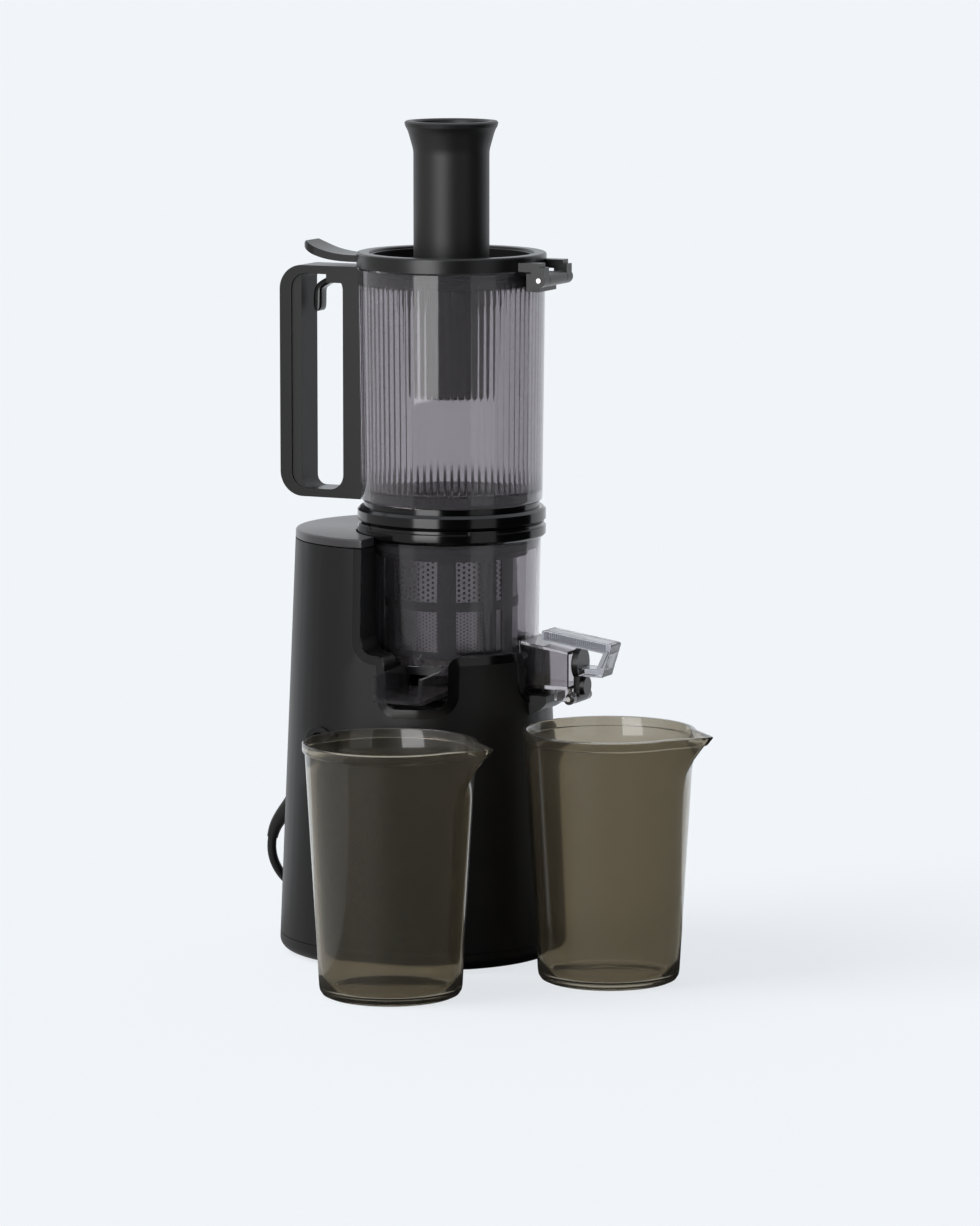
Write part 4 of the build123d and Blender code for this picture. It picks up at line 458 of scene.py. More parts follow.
def show_apart(tree, light, eye, output_kind):
    """One shader for the light and another for the rays that show the backdrop.

    Those come from the camera, through clear plastic or off gloss.
    """
    path = add_node(tree, "ShaderNodeLightPath", (2, -1))
    clear_rays = add_node(tree, "ShaderNodeMath", (3, -1), operation="MAXIMUM")
    all_rays = add_node(tree, "ShaderNodeMath", (4, -1), operation="MAXIMUM")
    mix = add_node(tree, "ShaderNodeMixShader", (5, 0))
    out = add_node(tree, output_kind, (6, 0))
    link_all(tree, (path, "Is Camera Ray", clear_rays, 0), (path, "Is Transmission Ray", clear_rays, 1),
             (clear_rays, 0, all_rays, 0), (path, "Is Glossy Ray", all_rays, 1),
             (all_rays, 0, mix, "Fac"), (light, 0, mix, 1), (eye, 0, mix, 2),
             (mix, 0, out, "Surface"))


def light_world():
    """Pale backdrop for the eye, and a soft studio that is brighter on the left for the light."""
    world = bpy.data.worlds.new("studio")
    bpy.context.scene.world = world
    tree = fresh_tree(world)
    place = add_node(tree, "ShaderNodeTexCoord", (0, 1))
    lean = add_node(tree, "ShaderNodeVectorMath", (1, 1), operation="DOT_PRODUCT")
    lean.inputs[1].default_value = STUDIO_BRIGHT_SIDE
    ramp = add_node(tree, "ShaderNodeMapRange", (2, 1), From_Min=-0.1, From_Max=1.0, To_Min=0.12,
                    To_Max=0.7)
    studio = add_node(tree, "ShaderNodeBackground", (3, 1))
    pale = add_node(tree, "ShaderNodeBackground", (3, 0),
                    Color=(*bpy.context.scene.juicer_finishes.backdrop, 1))
    link_all(tree, (place, "Generated", lean, 0), (lean, "Value", ramp, "Value"),
             (ramp, "Result", studio, "Color"))
    show_apart(tree, studio, pale, "ShaderNodeOutputWorld")


def lay_table():
    """Wide pale floor that keeps a soft shadow."""
    bm = bmesh.new()
    corners = ((-1, -1), (1, -1), (1, 1), (-1, 1))
    bm.faces.new([bm.verts.new((x * TABLE_REACH, y * TABLE_REACH, 0.0)) for x, y in corners])
    mesh = plain_mesh(bm, "table")
    material = bpy.data.materials.new("table surface")
    tree = fresh_tree(material)
    backdrop = bpy.context.scene.juicer_finishes.backdrop

    def share_of(share):
        """The backdrop's colour, dimmed."""
        return (*(c * share for c in backdrop), 1)

    glow = add_node(tree, "ShaderNodeEmission", (1, 0), Color=share_of(1), Strength=TABLE_GLOW)
    lit = add_node(tree, "ShaderNodeBsdfDiffuse", (1, 1), Color=share_of(TABLE_LIT))
    both = add_node(tree, "ShaderNodeAddShader", (2, 0))
    plain = add_node(tree, "ShaderNodeBsdfDiffuse", (2, 2), Color=share_of(TABLE_BOUNCE))
    link_all(tree, (glow, 0, both, 0), (lit, 0, both, 1))
    show_apart(tree, plain, both, "ShaderNodeOutputMaterial")
    mesh.materials.append(material)
    put("table", mesh)


def round_view(turn):
    """Level direction, in degrees to the right of the way from the juicer to the camera."""
    angle = radians(VIEW_TURN - 90 + turn)
    return Vector((cos(angle), sin(angle), 0))


def soft_key(name, turn, height, strength, spread):
    """Wide soft light from a direction; its mirror image is left to the cards."""
    data = bpy.data.lights.new(name, "SUN")
    data.energy = strength
    data.angle = radians(spread)
    lamp = put(name, data)
    toward = round_view(turn) * cos(radians(height)) + Vector((0, 0, sin(radians(height))))
    lamp.location = toward * 2
    lamp.rotation_euler = (-toward).to_track_quat("-Z", "Y").to_euler()
    lamp.visible_glossy = False


def gloss_card(name, start, end, path, tone):
    """Evenly glowing reflector, or a flag at a low tone, bent round the juicer."""
    turns = [start + (end - start) * k / CARD_STEPS for k in range(CARD_STEPS + 1)]
    bm = bmesh.new()
    grid_faces(bm, [[bm.verts.new(BOWL_AXIS + round_view(turn) * distance + Vector((0, 0, height)))
                     for turn in turns] for distance, height in path])
    mesh = plain_mesh(bm, name)
    material = bpy.data.materials.new(name)
    tree = fresh_tree(material)
    glow = add_node(tree, "ShaderNodeEmission", (0, 0), Strength=tone)
    out = add_node(tree, "ShaderNodeOutputMaterial", (1, 0))
    link_all(tree, (glow, 0, out, "Surface"))
    mesh.materials.append(material)
    card = put(name, mesh)
    for kind in CARD_UNSEEN_BY:
        setattr(card, "visible_" + kind, False)


# ---------------------------------------------------------------- finishes and edges of the solids
# millimetres of rounding on each solid's edges
EDGE_ROUNDING = {
    "base_housing": 0.7, "saddle_trim": 0.6, "rear_cap": 0.8, "bottom_tray": 0.5,
    "switch_bezel": 0.6, "switch_rocker": 0.5, "hopper_collar": 0.7, "hopper_floor": 0.7,
    "handle_frame": 1.3, "lid_ring": 0.45, "lid_dish": 0.4, "hinge_bracket": 0.45,
    "outlet_cap": 0.6, "pulp_lever": 0.7, "pulp_chute": 0.5, "juicer_bowl": 0.4,
    "strainer_frame": 0.35, "brush_holder": 0.4,
}
FACET_WELD = 0.003 * MM       # corners of a solid's facets this near are one
FACET_FLAT = radians(0.5)     # facets up to this angle are one face
SHARP_EDGE = radians(28)      # edges over this angle are rounded


class JUICER_OT_solid_finishes(bpy.types.Operator):
    """Plastics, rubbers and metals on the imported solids"""

    bl_idname = "juicer.solid_finishes"
    bl_label = "Finishes on the solids"

    def execute(self, context):
        for node, finish in FINISH_OF.items():
            for slot in frame["nodes"][node].material_slots:
                slot.material = finishes()[finish]
        return {"FINISHED"}


class JUICER_OT_soft_edges(bpy.types.Operator):
    """Moulded pieces with the small roundings of their edges"""

    bl_idname = "juicer.soft_edges"
    bl_label = "Rounded edges"

    def execute(self, context):
        for node, width in EDGE_ROUNDING.items():
            self.make_one(node, width * MM * context.scene.juicer_sizes.edge_share)
        return {"FINISHED"}

    def make_one(self, node, width):
        """One solid again, with rounded edges."""
        bm = bmesh.new()
        bm.from_mesh(frame["nodes"][node].data)
        bmesh.ops.remove_doubles(bm, verts=bm.verts, dist=FACET_WELD)
        bmesh.ops.dissolve_limit(bm, angle_limit=FACET_FLAT, verts=bm.verts, edges=bm.edges)
        corners = [edge for edge in bm.edges if edge.is_manifold and edge.calc_face_angle() > SHARP_EDGE]
        bmesh.ops.bevel(bm, geom=corners, offset=width, offset_type="OFFSET", segments=3, profile=0.5,
                        affect="EDGES", clamp_overlap=True, loop_slide=True)
        mesh = mesh_from(bm, node, 50, turn_faces=False)
        stands_for(flat_shaded(new_piece(node + "_rounded", mesh, FINISH_OF[node])), node)


# ---------------------------------------------------------------- copies
COPY_WELD = 0.01 * MM     # vertices of neighbouring copies this near are one


def start_copies(name, count, vector_name, vector, finish):
    """Geometry tree for copies of the piece, with its count and a vector as inputs.

    Gives the tree, its inputs and the nodes that place, realize and paint the copies.
    """
    tree = bpy.data.node_groups.new(name, "GeometryNodeTree")
    for label, kind, default in (("Geometry", "Geometry", None), ("Copies", "Int", count),
                                 (vector_name, "Vector", vector)):
        socket = tree.interface.new_socket(label, in_out="INPUT", socket_type="NodeSocket" + kind)
        if default is not None:
            socket.default_value = default
    tree.interface.new_socket("Geometry", in_out="OUTPUT", socket_type="NodeSocketGeometry")
    start = add_node(tree, "NodeGroupInput", (0, 0))
    instance = add_node(tree, "GeometryNodeGeometryToInstance", (1, 1))
    place = add_node(tree, "GeometryNodeInstanceOnPoints", (5, 0))
    solid = add_node(tree, "GeometryNodeRealizeInstances", (6, 0))
    paint = add_node(tree, "GeometryNodeSetMaterial", (8, 0), Material=finishes()[finish])
    end = add_node(tree, "NodeGroupOutput", (9, 0))
    link_all(tree, (start, "Geometry", instance, 0), (instance, 0, place, "Instance"),
             (place, 0, solid, 0), (paint, 0, end, "Geometry"))
    return tree, start, place, solid, paint


def ring_of_copies(count, finish):
    """Geometry tree that turns the piece about the bowl's axis into a ring of copies."""
    tree, start, place, solid, paint = start_copies(
        "Ring of Copies", count, "Axis", BOWL_AXIS, finish)
    points = add_node(tree, "GeometryNodePoints", (1, 0))
    index = add_node(tree, "GeometryNodeInputIndex", (1, 2))
    share = add_node(tree, "ShaderNodeMath", (2, 2), operation="DIVIDE")
    angle = add_node(tree, "ShaderNodeMath", (3, 2), operation="MULTIPLY")
    angle.inputs[1].default_value = tau
    turn = add_node(tree, "ShaderNodeCombineXYZ", (4, 2))
    weld = add_node(tree, "GeometryNodeMergeByDistance", (7, 0), Distance=COPY_WELD)
    link_all(tree, (start, "Copies", points, "Count"), (start, "Axis", points, "Position"),
             (index, 0, share, 0), (start, "Copies", share, 1), (share, 0, angle, 0),
             (angle, 0, turn, "Z"), (points, 0, place, "Points"), (turn, 0, place, "Rotation"),
             (solid, 0, weld, "Geometry"), (weld, 0, paint, "Geometry"))
    return tree


def row_of_copies(count, step, finish):
    """Geometry tree that repeats the piece along a straight row."""
    tree, start, place, solid, paint = start_copies("Row of Copies", count, "Step", step, finish)
    points = add_node(tree, "GeometryNodeMeshLine", (1, 0))
    link_all(tree, (start, "Copies", points, "Count"), (start, "Step", points, "Offset"),
             (points, 0, place, "Points"), (solid, 0, paint, "Geometry"))
    return tree


def grown(piece, tree, smooth_angle):
    """The piece with its geometry tree worked out and made a plain mesh."""
    piece.modifiers.new("copies", "NODES").node_group = tree
    smoothed(made_plain(piece).data, smooth_angle)
    return piece


# ---------------------------------------------------------------- sieve
SIEVE_THICK = 0.5 * MM
SIEVE_INSET = 0.35 * MM   # from the outside of the solid sheet to the middle of this one
SIEVE_TUCK = 1.5 * MM     # how far a sheet goes behind the frame above or below
SIEVE_BAR = 2.0 * MM      # between the two rows of sheets
COARSE_HOLE = 0.6         # hole over pitch
FINE_HOLE = 0.5
HOLE_SIDES = 8


def sieve_strip(radius, low, high, pitch, hole, half_angle):
    """Mesh of two upright columns of sieve sheet, the second with its holes half a step up."""
    rows = round((high - low) / pitch)
    step = (high - low) / rows
    hole_side = hole / 2 / (radius * half_angle)
    outline = ((1, 0), (1, 1), (0, 1), (-1, 1), (-1, 0), (-1, -1), (0, -1), (1, -1))
    circle = [(cos(tau * n / HOLE_SIDES), sin(tau * n / HOLE_SIDES)) for n in range(HOLE_SIDES)]
    skins = (SIEVE_THICK / 2, -SIEVE_THICK / 2)
    halves = ((-1, 0), (0, 1))
    bm = bmesh.new()

    def place(column, side, z, depth):
        """Vertex at a share of a column's half angle and a height."""
        angle = (2 * column + side) * half_angle
        return bm.verts.new(((radius + depth) * cos(angle), (radius + depth) * sin(angle), z))

    def hole_faces(column, z):
        """The sheet round one hole: outside, inside and through the hole."""
        (outer, inner), (outer_back, inner_back) = [
            ([place(column, a, z + b * step / 2, depth) for a, b in outline],
             [place(column, hole_side * a, z + hole / 2 * b, depth) for a, b in circle])
            for depth in skins]
        for n in range(HOLE_SIDES):
            m = (n + 1) % HOLE_SIDES
            bm.faces.new((outer[n], outer[m], inner[m], inner[n]))
            bm.faces.new((inner_back[n], inner_back[m], outer_back[m], outer_back[n]))
            bm.faces.new((inner[n], inner[m], inner_back[m], inner_back[n]))

    for k in range(rows):
        hole_faces(0, low + step * (k + 0.5))
    for k in range(1, rows):
        hole_faces(1, low + step * k)
    for z0, z1 in ((low, low + step / 2), (high - step / 2, high)):
        for a, b in halves:
            front, back = [[place(1, s, z, depth) for s, z in ((a, z0), (b, z0), (b, z1), (a, z1))]
                           for depth in skins]
            bm.faces.new(front)
            bm.faces.new(back[::-1])
    for z in (low, high):
        for column in (0, 1):
            for a, b in halves:
                edge = [place(column, side, z, depth)
                        for side, depth in ((a, skins[0]), (b, skins[0]), (b, skins[1]), (a, skins[1]))]
                bm.faces.new(edge if z == high else edge[::-1])
    bmesh.ops.remove_doubles(bm, verts=bm.verts, dist=0.001 * MM)
    return plain_mesh(bm, "sieve_strip")


class JUICER_OT_sieve(bpy.types.Operator):
    """Perforated sieve sheets in the strainer's two rows of windows"""

    bl_idname = "juicer.sieve"
    bl_label = "Sieve sheets"

    def execute(self, context):
        sizes = context.scene.juicer_sizes
        low, high = solid_box("strainer_mesh")
        radius = (high.y - low.y) / 2 - SIEVE_INSET
        middle = (low.z + high.z) / 2
        top, foot = high.z + SIEVE_TUCK, low.z - SIEVE_TUCK
        rows = (("sieve_coarse", middle + SIEVE_BAR / 2, top, sizes.coarse_pitch, COARSE_HOLE),
                ("sieve_fine", foot, middle - SIEVE_BAR / 2, sizes.fine_pitch, FINE_HOLE))
        pieces = []
        for name, z0, z1, pitch, share in rows:
            pairs = round(pi * radius / pitch)
            mesh = sieve_strip(radius, z0, z1, pitch, pitch * share, pi / (2 * pairs))
            sheet = new_piece(name, mesh, "strainer steel")
            pieces.append(grown(sheet, ring_of_copies(pairs, "strainer steel"), 40))
        for piece in pieces:
            stands_for(piece, "strainer_mesh")
        return {"FINISHED"}


# ---------------------------------------------------------------- hopper
TUBE_TAPER = 1.6 * MM     # how much smaller the radius is at the foot
TUBE_ROUND = 3.0 * MM     # height where the foot's rounding ends
TUBE_CHAMFER = 0.6 * MM   # inside the mouth
FLUTE_END = 0.4 * MM      # stretch over which a rib runs out
# the outside in millimetres, inwards from the foot's radius and up, and from the top's and down
TUBE_FOOT = ((2.2, 0.0), (0.9, 0.5), (0.2, 1.5))
TUBE_LIP = ((0.0, 1.0), (0.9, 0.0))

SKIRT_OUT = 0.6 * MM      # how far the skirt reaches past the solid gasket
SKIRT_STEPS = 144
# the skirt's outline in millimetres, inwards from its outer radius and down from its top
SKIRT_RIDGES = ((3.4, 0.1), (0.3, 0.1), (0.2, 1.4), (0.9, 1.8), (0.9, 2.4), (0.0, 2.9), (0.0, 4.0),
                (0.9, 4.5), (0.2, 5.1))
# and up from its foot
SKIRT_FOOT = ((0.2, 0.9), (1.0, 0.0), (2.6, 0.0), (3.4, 0.9))


class JUICER_OT_hopper_tube(bpy.types.Operator):
    """Clear hopper tube, plain outside and with fine upright ribs inside"""

    bl_idname = "juicer.hopper_tube"
    bl_label = "Hopper tube"

    def execute(self, context):
        sizes = context.scene.juicer_sizes
        low, high = solid_box("hopper_barrel")
        top_r = (high.x - low.x) / 2
        foot_r = top_r - TUBE_TAPER
        half = pi / sizes.flute_count
        steps = [-1 + k / 4 for k in range(9)]
        bm = bmesh.new()

        def wall_r(z):
            """Outer radius of the tube at a height."""
            return foot_r + (top_r - foot_r) * (z - low.z) / (high.z - low.z)

        def row(radius, z, valley=0.0):
            """Vertices across one strip of the tube, with a valley in its middle."""
            radii = [radius + valley * (1 - s * s) for s in steps]
            return [bm.verts.new((r * cos(s * half), r * sin(s * half), z))
                    for r, s in zip(radii, steps)]

        straight = low.z + TUBE_ROUND
        outside = [(foot_r - step * MM, low.z + rise * MM) for step, rise in TUBE_FOOT]
        outside.append((wall_r(straight), straight))
        outside += [(top_r - step * MM, high.z - drop * MM) for step, drop in TUBE_LIP]
        inside = ((high.z, -TUBE_CHAMFER, 0), (high.z - TUBE_CHAMFER, 0, 0),
                  (sizes.flute_high + FLUTE_END, 0, 0), (sizes.flute_high, 0, 1),
                  (sizes.flute_low, 0, 1), (sizes.flute_low - FLUTE_END, 0, 0), (low.z, 0, 0))
        rows = [row(r, z) for r, z in outside]
        rows += [row(wall_r(z) - sizes.hopper_wall - step, z, sizes.flute_depth * share)
                 for z, step, share in inside]
        grid_faces(bm, rows + rows[:1])
        strip = new_piece("hopper_tube", mesh_from(bm, "hopper_tube"), "smoke plastic")
        tube = grown(strip, ring_of_copies(sizes.flute_count, "smoke plastic"), 36)
        stands_for(tube, "hopper_barrel")
        return {"FINISHED"}


class JUICER_OT_lid_skirt(bpy.types.Operator):
    """Rubber skirt under the lid, inside the top of the hopper tube"""

    bl_idname = "juicer.lid_skirt"
    bl_label = "Lid skirt"

    def execute(self, context):
        low, high = solid_box("lid_gasket")
        outer = (high.x - low.x) / 2 + SKIRT_OUT
        foot = context.scene.juicer_sizes.flute_high + FLUTE_END
        profile = [(outer - step * MM, high.z - drop * MM) for step, drop in SKIRT_RIDGES]
        profile += [(outer - step * MM, foot + rise * MM) for step, rise in SKIRT_FOOT]
        bm = bmesh.new()
        rings = []
        for k in range(SKIRT_STEPS):
            a = tau * k / SKIRT_STEPS
            rings.append([bm.verts.new(BOWL_AXIS + Vector((r * cos(a), r * sin(a), z)))
                          for r, z in profile])
        grid_faces(bm, rings + rings[:1], closed=True)
        piece = new_piece("lid_skirt", mesh_from(bm, "lid_skirt", 35), FINISH_OF["lid_gasket"])
        stands_for(piece, "lid_gasket")
        return {"FINISHED"}


# ---------------------------------------------------------------- lever, grip and trigger
RIB_PITCH = 1.35 * MM
RIB_FIRST = 2.4 * MM      # from the bar's left end
RIB_LAST = 3.0 * MM       # from its right end
RIB_TOP = 1.1 * MM        # down from the bar's top
RIB_FOOT = 6.0 * MM
# one rib in millimetres, along the bar and into it from its front
RIB_SECTION = ((-0.45, 0.3), (-0.42, -0.05), (-0.22, -0.28), (0.22, -0.28), (0.42, -0.05),
               (0.45, 0.3))

HANDLE_ARM = 5.4 * MM     # thickness of the handle's level arms
GRIP_GAP = 0.1 * MM       # between the grip and the arms
GRIP_FILLETS = (6.5 * MM, 3.5 * MM)   # into the gap's lower and upper corner
GRIP_EDGE = 2.0 * MM
FILLET_STEPS = 8

FINGER_MIDDLE = 3.1 * MM  # from the trigger's left side to the middle of its hanging part
TRIGGER_SIDES = 20
# the trigger's middle line in millimetres and half its thickness: from the pivot,
TRIGGER_ARM = ((2.0, 0.0, 2.6), (-2.5, -0.5, 2.3), (-7.5, -3.2, 2.4))
# from the hanging part's middle and the pivot's height, and from its middle and its tip
TRIGGER_BEND = ((1.2, -6.6, 2.6), (0.0, -10.5, 3.0))
TRIGGER_TIP = ((-0.1, 5.5, 3.1), (0.0, 2.4, 2.7), (0.1, 0.8, 1.8), (0.15, 0.1, 0.5))


class JUICER_OT_lever_ribs(bpy.types.Operator):
    """Fine upright ribs on the front of the lever's top bar"""

    bl_idname = "juicer.lever_ribs"
    bl_label = "Lever ribs"

    def execute(self, context):
        low, high = solid_box("pulp_lever")
        first = low.x + RIB_FIRST
        count = int((high.x - RIB_LAST - first) / RIB_PITCH)
        fall = -context.scene.juicer_sizes.lever_slope * RIB_PITCH
        bm = bmesh.new()
        bar_faces(bm, [[bm.verts.new((first + x * MM, low.y + y * MM, z)) for x, y in RIB_SECTION]
                       for z in (high.z - RIB_FOOT, high.z - RIB_TOP)])
        ribs = new_piece("lever_ribs", mesh_from(bm, "lever_ribs", 60), "lever plastic")
        grown(ribs, row_of_copies(count, (RIB_PITCH, 0, fall), "lever plastic"), 60)
        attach(ribs, BODY_OF["pulp_lever"])
        return {"FINISHED"}


class JUICER_OT_grip(bpy.types.Operator):
    """Soft grip that runs out into the corners of the finger gap"""

    bl_idname = "juicer.grip"
    bl_label = "Grip"

    def execute(self, context):
        low, high = solid_box("handle_grip")
        arm_low, arm_high = solid_box("handle_frame")
        foot = arm_low.z + HANDLE_ARM + GRIP_GAP
        top = arm_high.z - HANDLE_ARM - GRIP_GAP
        outline = [(low.x, foot)]
        for z, way, r, start in ((foot, 1, GRIP_FILLETS[0], 270), (top, -1, GRIP_FILLETS[1], 180)):
            for k in range(FILLET_STEPS + 1):
                a = radians(start - 90 * k / FILLET_STEPS)
                outline.append((high.x + r + r * cos(a), z + way * r + r * sin(a)))
        outline.append((low.x, top))
        bm = bmesh.new()
        bar_faces(bm, [[bm.verts.new((x, y, z)) for x, z in outline] for y in (low.y, high.y)])
        bmesh.ops.recalc_face_normals(bm, faces=bm.faces)
        sides = [edge for edge in bm.edges if edge.calc_face_angle() > radians(60)
                 and min(v.co.x for v in edge.verts) > low.x + GRIP_GAP]
        bmesh.ops.bevel(bm, geom=sides, offset=GRIP_EDGE, offset_type="OFFSET", segments=4,
                        profile=0.5, affect="EDGES", clamp_overlap=True)
        mesh = mesh_from(bm, "grip_moulded", 60)
        piece = new_piece("grip_moulded", mesh, FINISH_OF["handle_grip"])
        stands_for(flat_shaded(piece), "handle_grip")
        return {"FINISHED"}


def boxed(value, power):
    """A circle's coordinate pushed out towards a rounded square."""
    return copysign(abs(value) ** power, value)


class JUICER_OT_trigger(bpy.types.Operator):
    """Curved trigger that hangs into the finger gap"""

    bl_idname = "juicer.trigger"
    bl_label = "Trigger"

    def execute(self, context):
        low, high = solid_box("handle_trigger")
        pivot = Vector(JOINTS["trigger_pull"]["pos_m"])
        half = (high.y - low.y) / 2
        hang_x = low.x + FINGER_MIDDLE
        path = [(x0 + x * MM, z0 + z * MM, thick * MM)
                for x0, z0, points in ((pivot.x, pivot.z, TRIGGER_ARM), (hang_x, pivot.z, TRIGGER_BEND),
                                       (hang_x, low.z, TRIGGER_TIP)) for x, z, thick in points]
        bm = bmesh.new()
        rows = []
        for k, (x, z, thick) in enumerate(path):
            before, after = path[max(0, k - 1)], path[min(len(path) - 1, k + 1)]
            run = Vector((after[0] - before[0], 0, after[1] - before[1])).normalized()
            side = Vector((-run.z, 0, run.x))
            row = []
            for n in range(TRIGGER_SIDES):
                a = tau * n / TRIGGER_SIDES
                out = side * boxed(cos(a), 0.5) * thick
                row.append(bm.verts.new(Vector((x, pivot.y + boxed(sin(a), 0.45) * half, z)) + out))
            rows.append(row)
        bar_faces(bm, rows)
        mesh = mesh_from(bm, "trigger_curved", 60)
        piece = new_piece("trigger_curved", mesh, FINISH_OF["handle_trigger"])
        smoother = piece.modifiers.new("smoother", "SUBSURF")
        smoother.levels = smoother.render_levels = 2
        stands_for(made_plain(piece), "handle_trigger")
        return {"FINISHED"}


# ---------------------------------------------------------------- pitchers
PITCHER_FOOT_R = 45 * MM
PITCHER_FOOT_H = 6.2 * MM     # where the foot ends and the sloping wall starts
PITCHER_RIM_H = 6.5 * MM      # height of the rim
PITCHER_RIM_STEP = 1.6 * MM   # how far the rim stands out
PITCHER_FLOOR_H = 10 * MM     # lowest row of the wall inside
PITCHER_CAP_R = 4 * MM        # small flat in the middle of the foot and the floor
WALL_STEPS = 16
BEAK_DROP = 27 * MM           # how far down the beak reaches
BEAK_POINT = 1.7              # how pointed it is round the rim
BEAK_FLOW = 1.35              # how it grows with the height
BEAK_STEPS = 24
RIM_STEPS = 96
# millimetres out from the foot's radius and up, outside and inside
FOOT_OUTSIDE = ((-9.0, 1.2), (-7.5, 0.0), (-4.5, 0.0), (-1.9, 1.2), (-0.5, 3.4), (0.0, 6.2))
FOOT_INSIDE = ((-0.8, 6.6), (-2.6, 4.6), (-6.0, 4.0))
# millimetres out from the rim's radius and up from the top
PITCHER_RIM = ((-0.4, -5.8), (0.0, -5.0), (0.0, -0.8), (-0.7, 0.0), (-2.6, 0.0), (-3.3, -0.8))


def beak_push(angle, half_angle):
    """Share of the beak's reach at an angle from its tip: pointed, and flowing into the wall."""
    return max(0.0, 1 - abs(angle) / half_angle) ** BEAK_POINT


def pitcher_rows(height, rim_r, wall):
    """(radius, height, share of the beak) rows: out from the foot's middle, up, and down inside."""
    shoulder_r, shoulder_z = rim_r - PITCHER_RIM_STEP, height - PITCHER_RIM_H
    slope = [(PITCHER_FOOT_R + (shoulder_r - PITCHER_FOOT_R) * k / WALL_STEPS,
              PITCHER_FOOT_H + (shoulder_z - PITCHER_FOOT_H) * k / WALL_STEPS)
             for k in range(WALL_STEPS + 1)]

    def beside(radius, z, points):
        """Places from points in millimetres."""
        return [(radius + out * MM, z + up * MM) for out, up in points]

    outside = beside(PITCHER_FOOT_R, 0.0, FOOT_OUTSIDE) + slope[1:]
    inside = [(r - wall, z) for r, z in slope[-2::-1] if z > PITCHER_FLOOR_H]
    inside += beside(PITCHER_FOOT_R - wall, 0.0, FOOT_INSIDE)
    places = [(PITCHER_CAP_R, outside[0][1])] + outside + beside(rim_r, height, PITCHER_RIM)
    places += inside + [(PITCHER_CAP_R, inside[-1][1])]
    beak_foot = height - BEAK_DROP
    return [(r, z, max(0.0, (z - beak_foot) / BEAK_DROP) ** BEAK_FLOW) for r, z in places]


class JUICER_OT_pitchers(bpy.types.Operator):
    """Two smoked pitchers with a pouring lip"""

    bl_idname = "juicer.pitchers"
    bl_label = "Pitchers"

    def execute(self, context):
        for node in ("juice_pitcher", "pulp_pitcher"):
            self.make_one(node, context.scene.juicer_sizes)
        return {"FINISHED"}

    def make_one(self, node, sizes):
        """One pitcher in place of its solid."""
        low, high = solid_box(node)
        rim_r = (high.y - low.y) / 2
        centre = Vector((low.x + rim_r, (low.y + high.y) / 2, 0))
        reach = high.x - (low.x + rim_r) - rim_r
        half = sizes.beak_half_angle
        angles = [half * (k / BEAK_STEPS) for k in range(-BEAK_STEPS, BEAK_STEPS + 1)]
        angles += [half + (tau - 2 * half) * k / RIM_STEPS for k in range(1, RIM_STEPS)]
        bm = bmesh.new()
        rings = []
        for r, z, share in pitcher_rows(high.z - low.z, rim_r, sizes.pitcher_wall):
            ring = []
            for a in angles:
                out = r + reach * share * beak_push(a, half)
                ring.append(bm.verts.new(centre + Vector((out * cos(a), out * sin(a), z))))
            rings.append(ring)
        bar_faces(bm, rings)
        piece = new_piece(node + "_clear", mesh_from(bm, node, 40), "pitcher plastic")
        stands_for(piece, node)


# ---------------------------------------------------------------- power cord
# millimetres from the bowl's axis
CORD_LOOP = ((-117.5, 0.0, 86.5), (-126.0, 0.4, 78.0), (-131.8, 1.2, 65.2), (-132.6, 3.0, 51.2),
             (-128.8, 8.5, 38.6), (-124.6, 19.5, 29.4), (-122.4, 33.5, 21.0), (-121.6, 50.0, 13.4),
             (-121.9, 68.0, 7.8), (-122.8, 85.5, 4.6), (-123.4, 101.5, 3.6))
CORD_TAIL = ((-121.0, 154.0, 9.2), (-113.6, 163.4, 8.6), (-103.4, 173.2, 6.8), (-90.9, 179.8, 6.4),
             (-81.0, 181.4, 6.6))
CORD_SIZE = 6.0
CORD_PITCH = 6.2          # from one turn to the next
CORD_LIFT = 0.1           # off the table
COIL_MIDDLE = (-88.0, 126.0)
COIL_RADIUS = 36.0
COIL_START = 200.0        # degrees round the coil
COIL_SWEEP = -1490.0      # clockwise, a little over four turns
COIL_POINTS = 54
COIL_RISE = 0.07          # share of the coil on either side of its middle where it climbs

RELIEF_ROOT = 5 * MM      # strain relief inside the housing
RELIEF_LENGTH = 26 * MM   # and along the cord
RELIEF_WIDE = 7.0 * MM
RELIEF_NARROW = 3.6 * MM
RELIEF_STEPS = 34
RELIEF_SIDES = 24


def coil_turns():
    """Points of the put-away turns: a spiral inwards on the table, then outwards on top of it."""
    points = []
    for k in range(COIL_POINTS + 1):
        share = k / COIL_POINTS
        angle = radians(COIL_START + COIL_SWEEP * share)
        r = COIL_RADIUS + CORD_PITCH * (2 * abs(2 * share - 1) - 1)
        climb = min(1.0, max(0.0, (share - 0.5 + COIL_RISE) / (2 * COIL_RISE)))
        z = CORD_SIZE / 2 + CORD_LIFT + CORD_PITCH * (0.5 - 0.5 * cos(pi * climb))
        points.append((COIL_MIDDLE[0] + r * cos(angle), COIL_MIDDLE[1] + r * sin(angle), z))
    return points


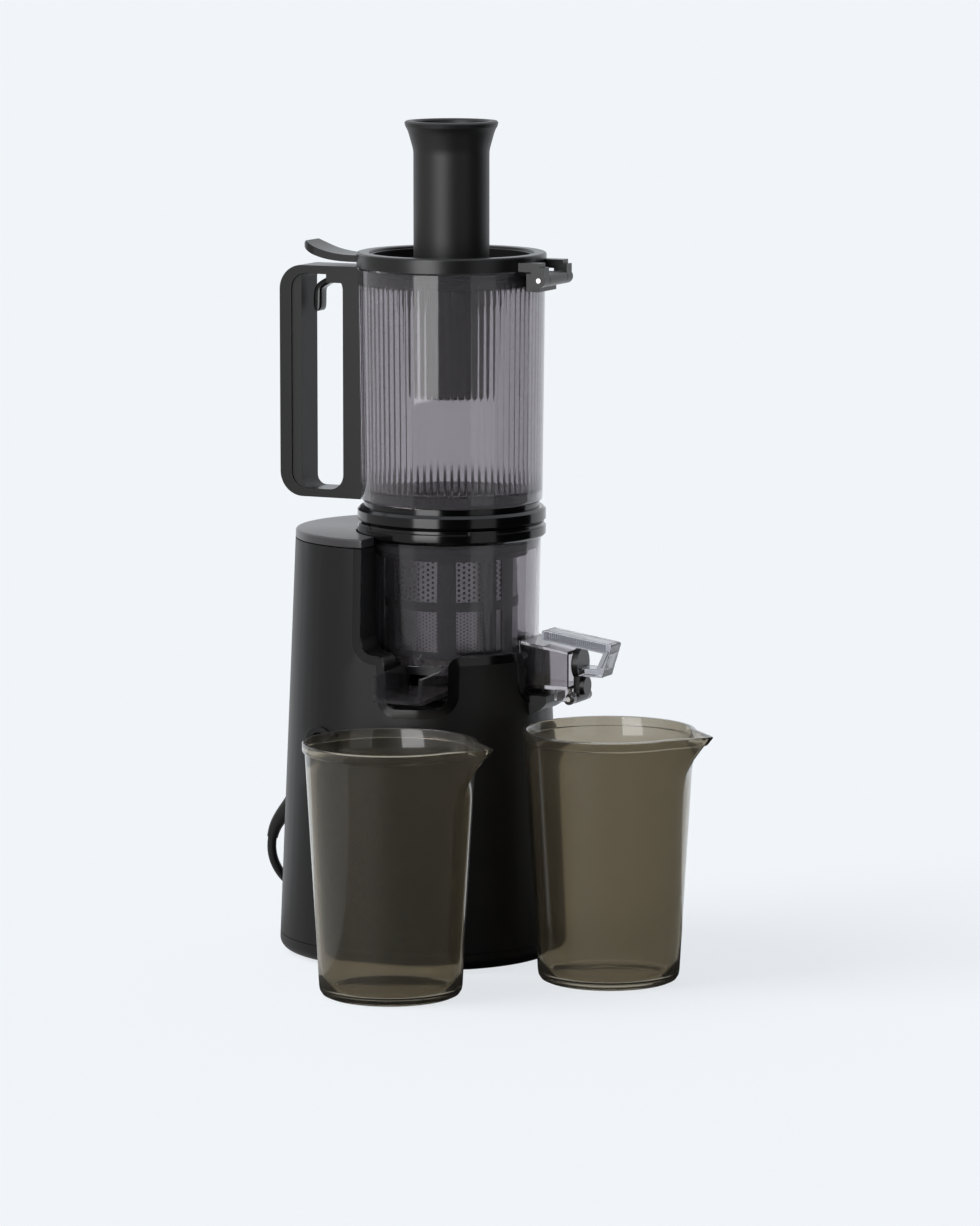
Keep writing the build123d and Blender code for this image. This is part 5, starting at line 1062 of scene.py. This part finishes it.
class JUICER_OT_power_cord(bpy.types.Operator):
    """Power cord from its strain relief round to the plug"""

    bl_idname = "juicer.power_cord"
    bl_label = "Power cord"

    def execute(self, context):
        route = (*CORD_LOOP, *coil_turns(), *CORD_TAIL)
        points = [BOWL_AXIS + Vector(place) * MM for place in route]
        curve = bpy.data.curves.new("cord", "CURVE")
        curve.dimensions = "3D"
        curve.bevel_depth = CORD_SIZE / 2 * MM
        curve.bevel_resolution = 5
        curve.resolution_u = 5
        curve.use_fill_caps = True
        spline = curve.splines.new("NURBS")
        spline.points.add(len(points) - 1)
        for point, place in zip(spline.points, points):
            point.co = (*place, 1)
        spline.order_u = 3
        spline.use_endpoint_u = True
        cord = put("cord_line", curve)
        curve.materials.append(finishes()["cord rubber"])
        relief = self.strain_relief(cord)
        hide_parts("power_cord", "cord_coil", "cord_tail")
        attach(cord, "base")
        return {"FINISHED"}

    def strain_relief(self, cord):
        """Tapered sleeve along the cord's first stretch."""
        thickness, cord.data.bevel_depth = cord.data.bevel_depth, 0.0
        evaluated = cord.evaluated_get(bpy.context.evaluated_depsgraph_get())
        line = bpy.data.meshes.new_from_object(evaluated)
        cord.data.bevel_depth = thickness
        route = [vertex.co.copy() for vertex in line.vertices]
        away = (route[1] - route[0]).normalized()
        path = [(route[0] - away * RELIEF_ROOT, 0.0), (route[0], RELIEF_ROOT)]
        for before, after in zip(route, route[1:]):
            path.append((after, path[-1][1] + (after - before).length))
        bm = bmesh.new()
        rows = []
        for k in range(RELIEF_STEPS + 1):
            share = k / RELIEF_STEPS
            along = (RELIEF_ROOT + RELIEF_LENGTH) * k / RELIEF_STEPS
            n = next(i for i in range(1, len(path)) if path[i][1] >= along)
            (start, a), (end, b) = path[n - 1], path[n]
            centre = start.lerp(end, (along - a) / (b - a))
            run = (end - start).normalized()
            across = run.cross(Vector((0, 1, 0))).normalized()
            other = run.cross(across)
            r = RELIEF_WIDE + (RELIEF_NARROW - RELIEF_WIDE) * share ** 0.6
            turns = [tau * m / RELIEF_SIDES for m in range(RELIEF_SIDES)]
            rows.append([bm.verts.new(centre + across * r * cos(t) + other * r * sin(t))
                         for t in turns])
        bar_faces(bm, rows)
        piece = new_piece("strain_relief", mesh_from(bm, "strain_relief", 50), "cord rubber")
        stands_for(piece, "cord_gland")
        return piece


# ---------------------------------------------------------------- panel and main
OPERATORS = (JUICER_OT_stage, JUICER_OT_power_cord, JUICER_OT_solid_finishes, JUICER_OT_soft_edges,
             JUICER_OT_sieve, JUICER_OT_lever_ribs, JUICER_OT_grip, JUICER_OT_trigger,
             JUICER_OT_hopper_tube, JUICER_OT_lid_skirt, JUICER_OT_pitchers)


class JUICER_PT_panel(bpy.types.Panel):
    """The juicer's pieces, colours and sizes"""

    bl_label = "Juicer"
    bl_space_type = "VIEW_3D"
    bl_region_type = "UI"
    bl_category = "Juicer"

    def draw(self, context):
        for operator in OPERATORS:
            self.layout.operator(operator.bl_idname)
        for group in (context.scene.juicer_finishes, context.scene.juicer_sizes):
            box = self.layout.box()
            for name in group.__annotations__:
                box.prop(group, name)


CLASSES = (JuicerFinishes, JuicerSizes, *OPERATORS, JUICER_PT_panel)


def register():
    """Adds the classes and the scene's settings."""
    for item in CLASSES:
        bpy.utils.register_class(item)
    bpy.types.Scene.juicer_finishes = PointerProperty(type=JuicerFinishes)
    bpy.types.Scene.juicer_sizes = PointerProperty(type=JuicerSizes)


def unregister():
    """Takes the settings and the classes away again."""
    del bpy.types.Scene.juicer_sizes
    del bpy.types.Scene.juicer_finishes
    for item in reversed(CLASSES):
        bpy.utils.unregister_class(item)


def main():
    """Makes every piece in order."""
    register()
    for operator in OPERATORS:
        group, name = operator.bl_idname.split(".")
        getattr(getattr(bpy.ops, group), name)()


if __name__ == "__main__":
    main()
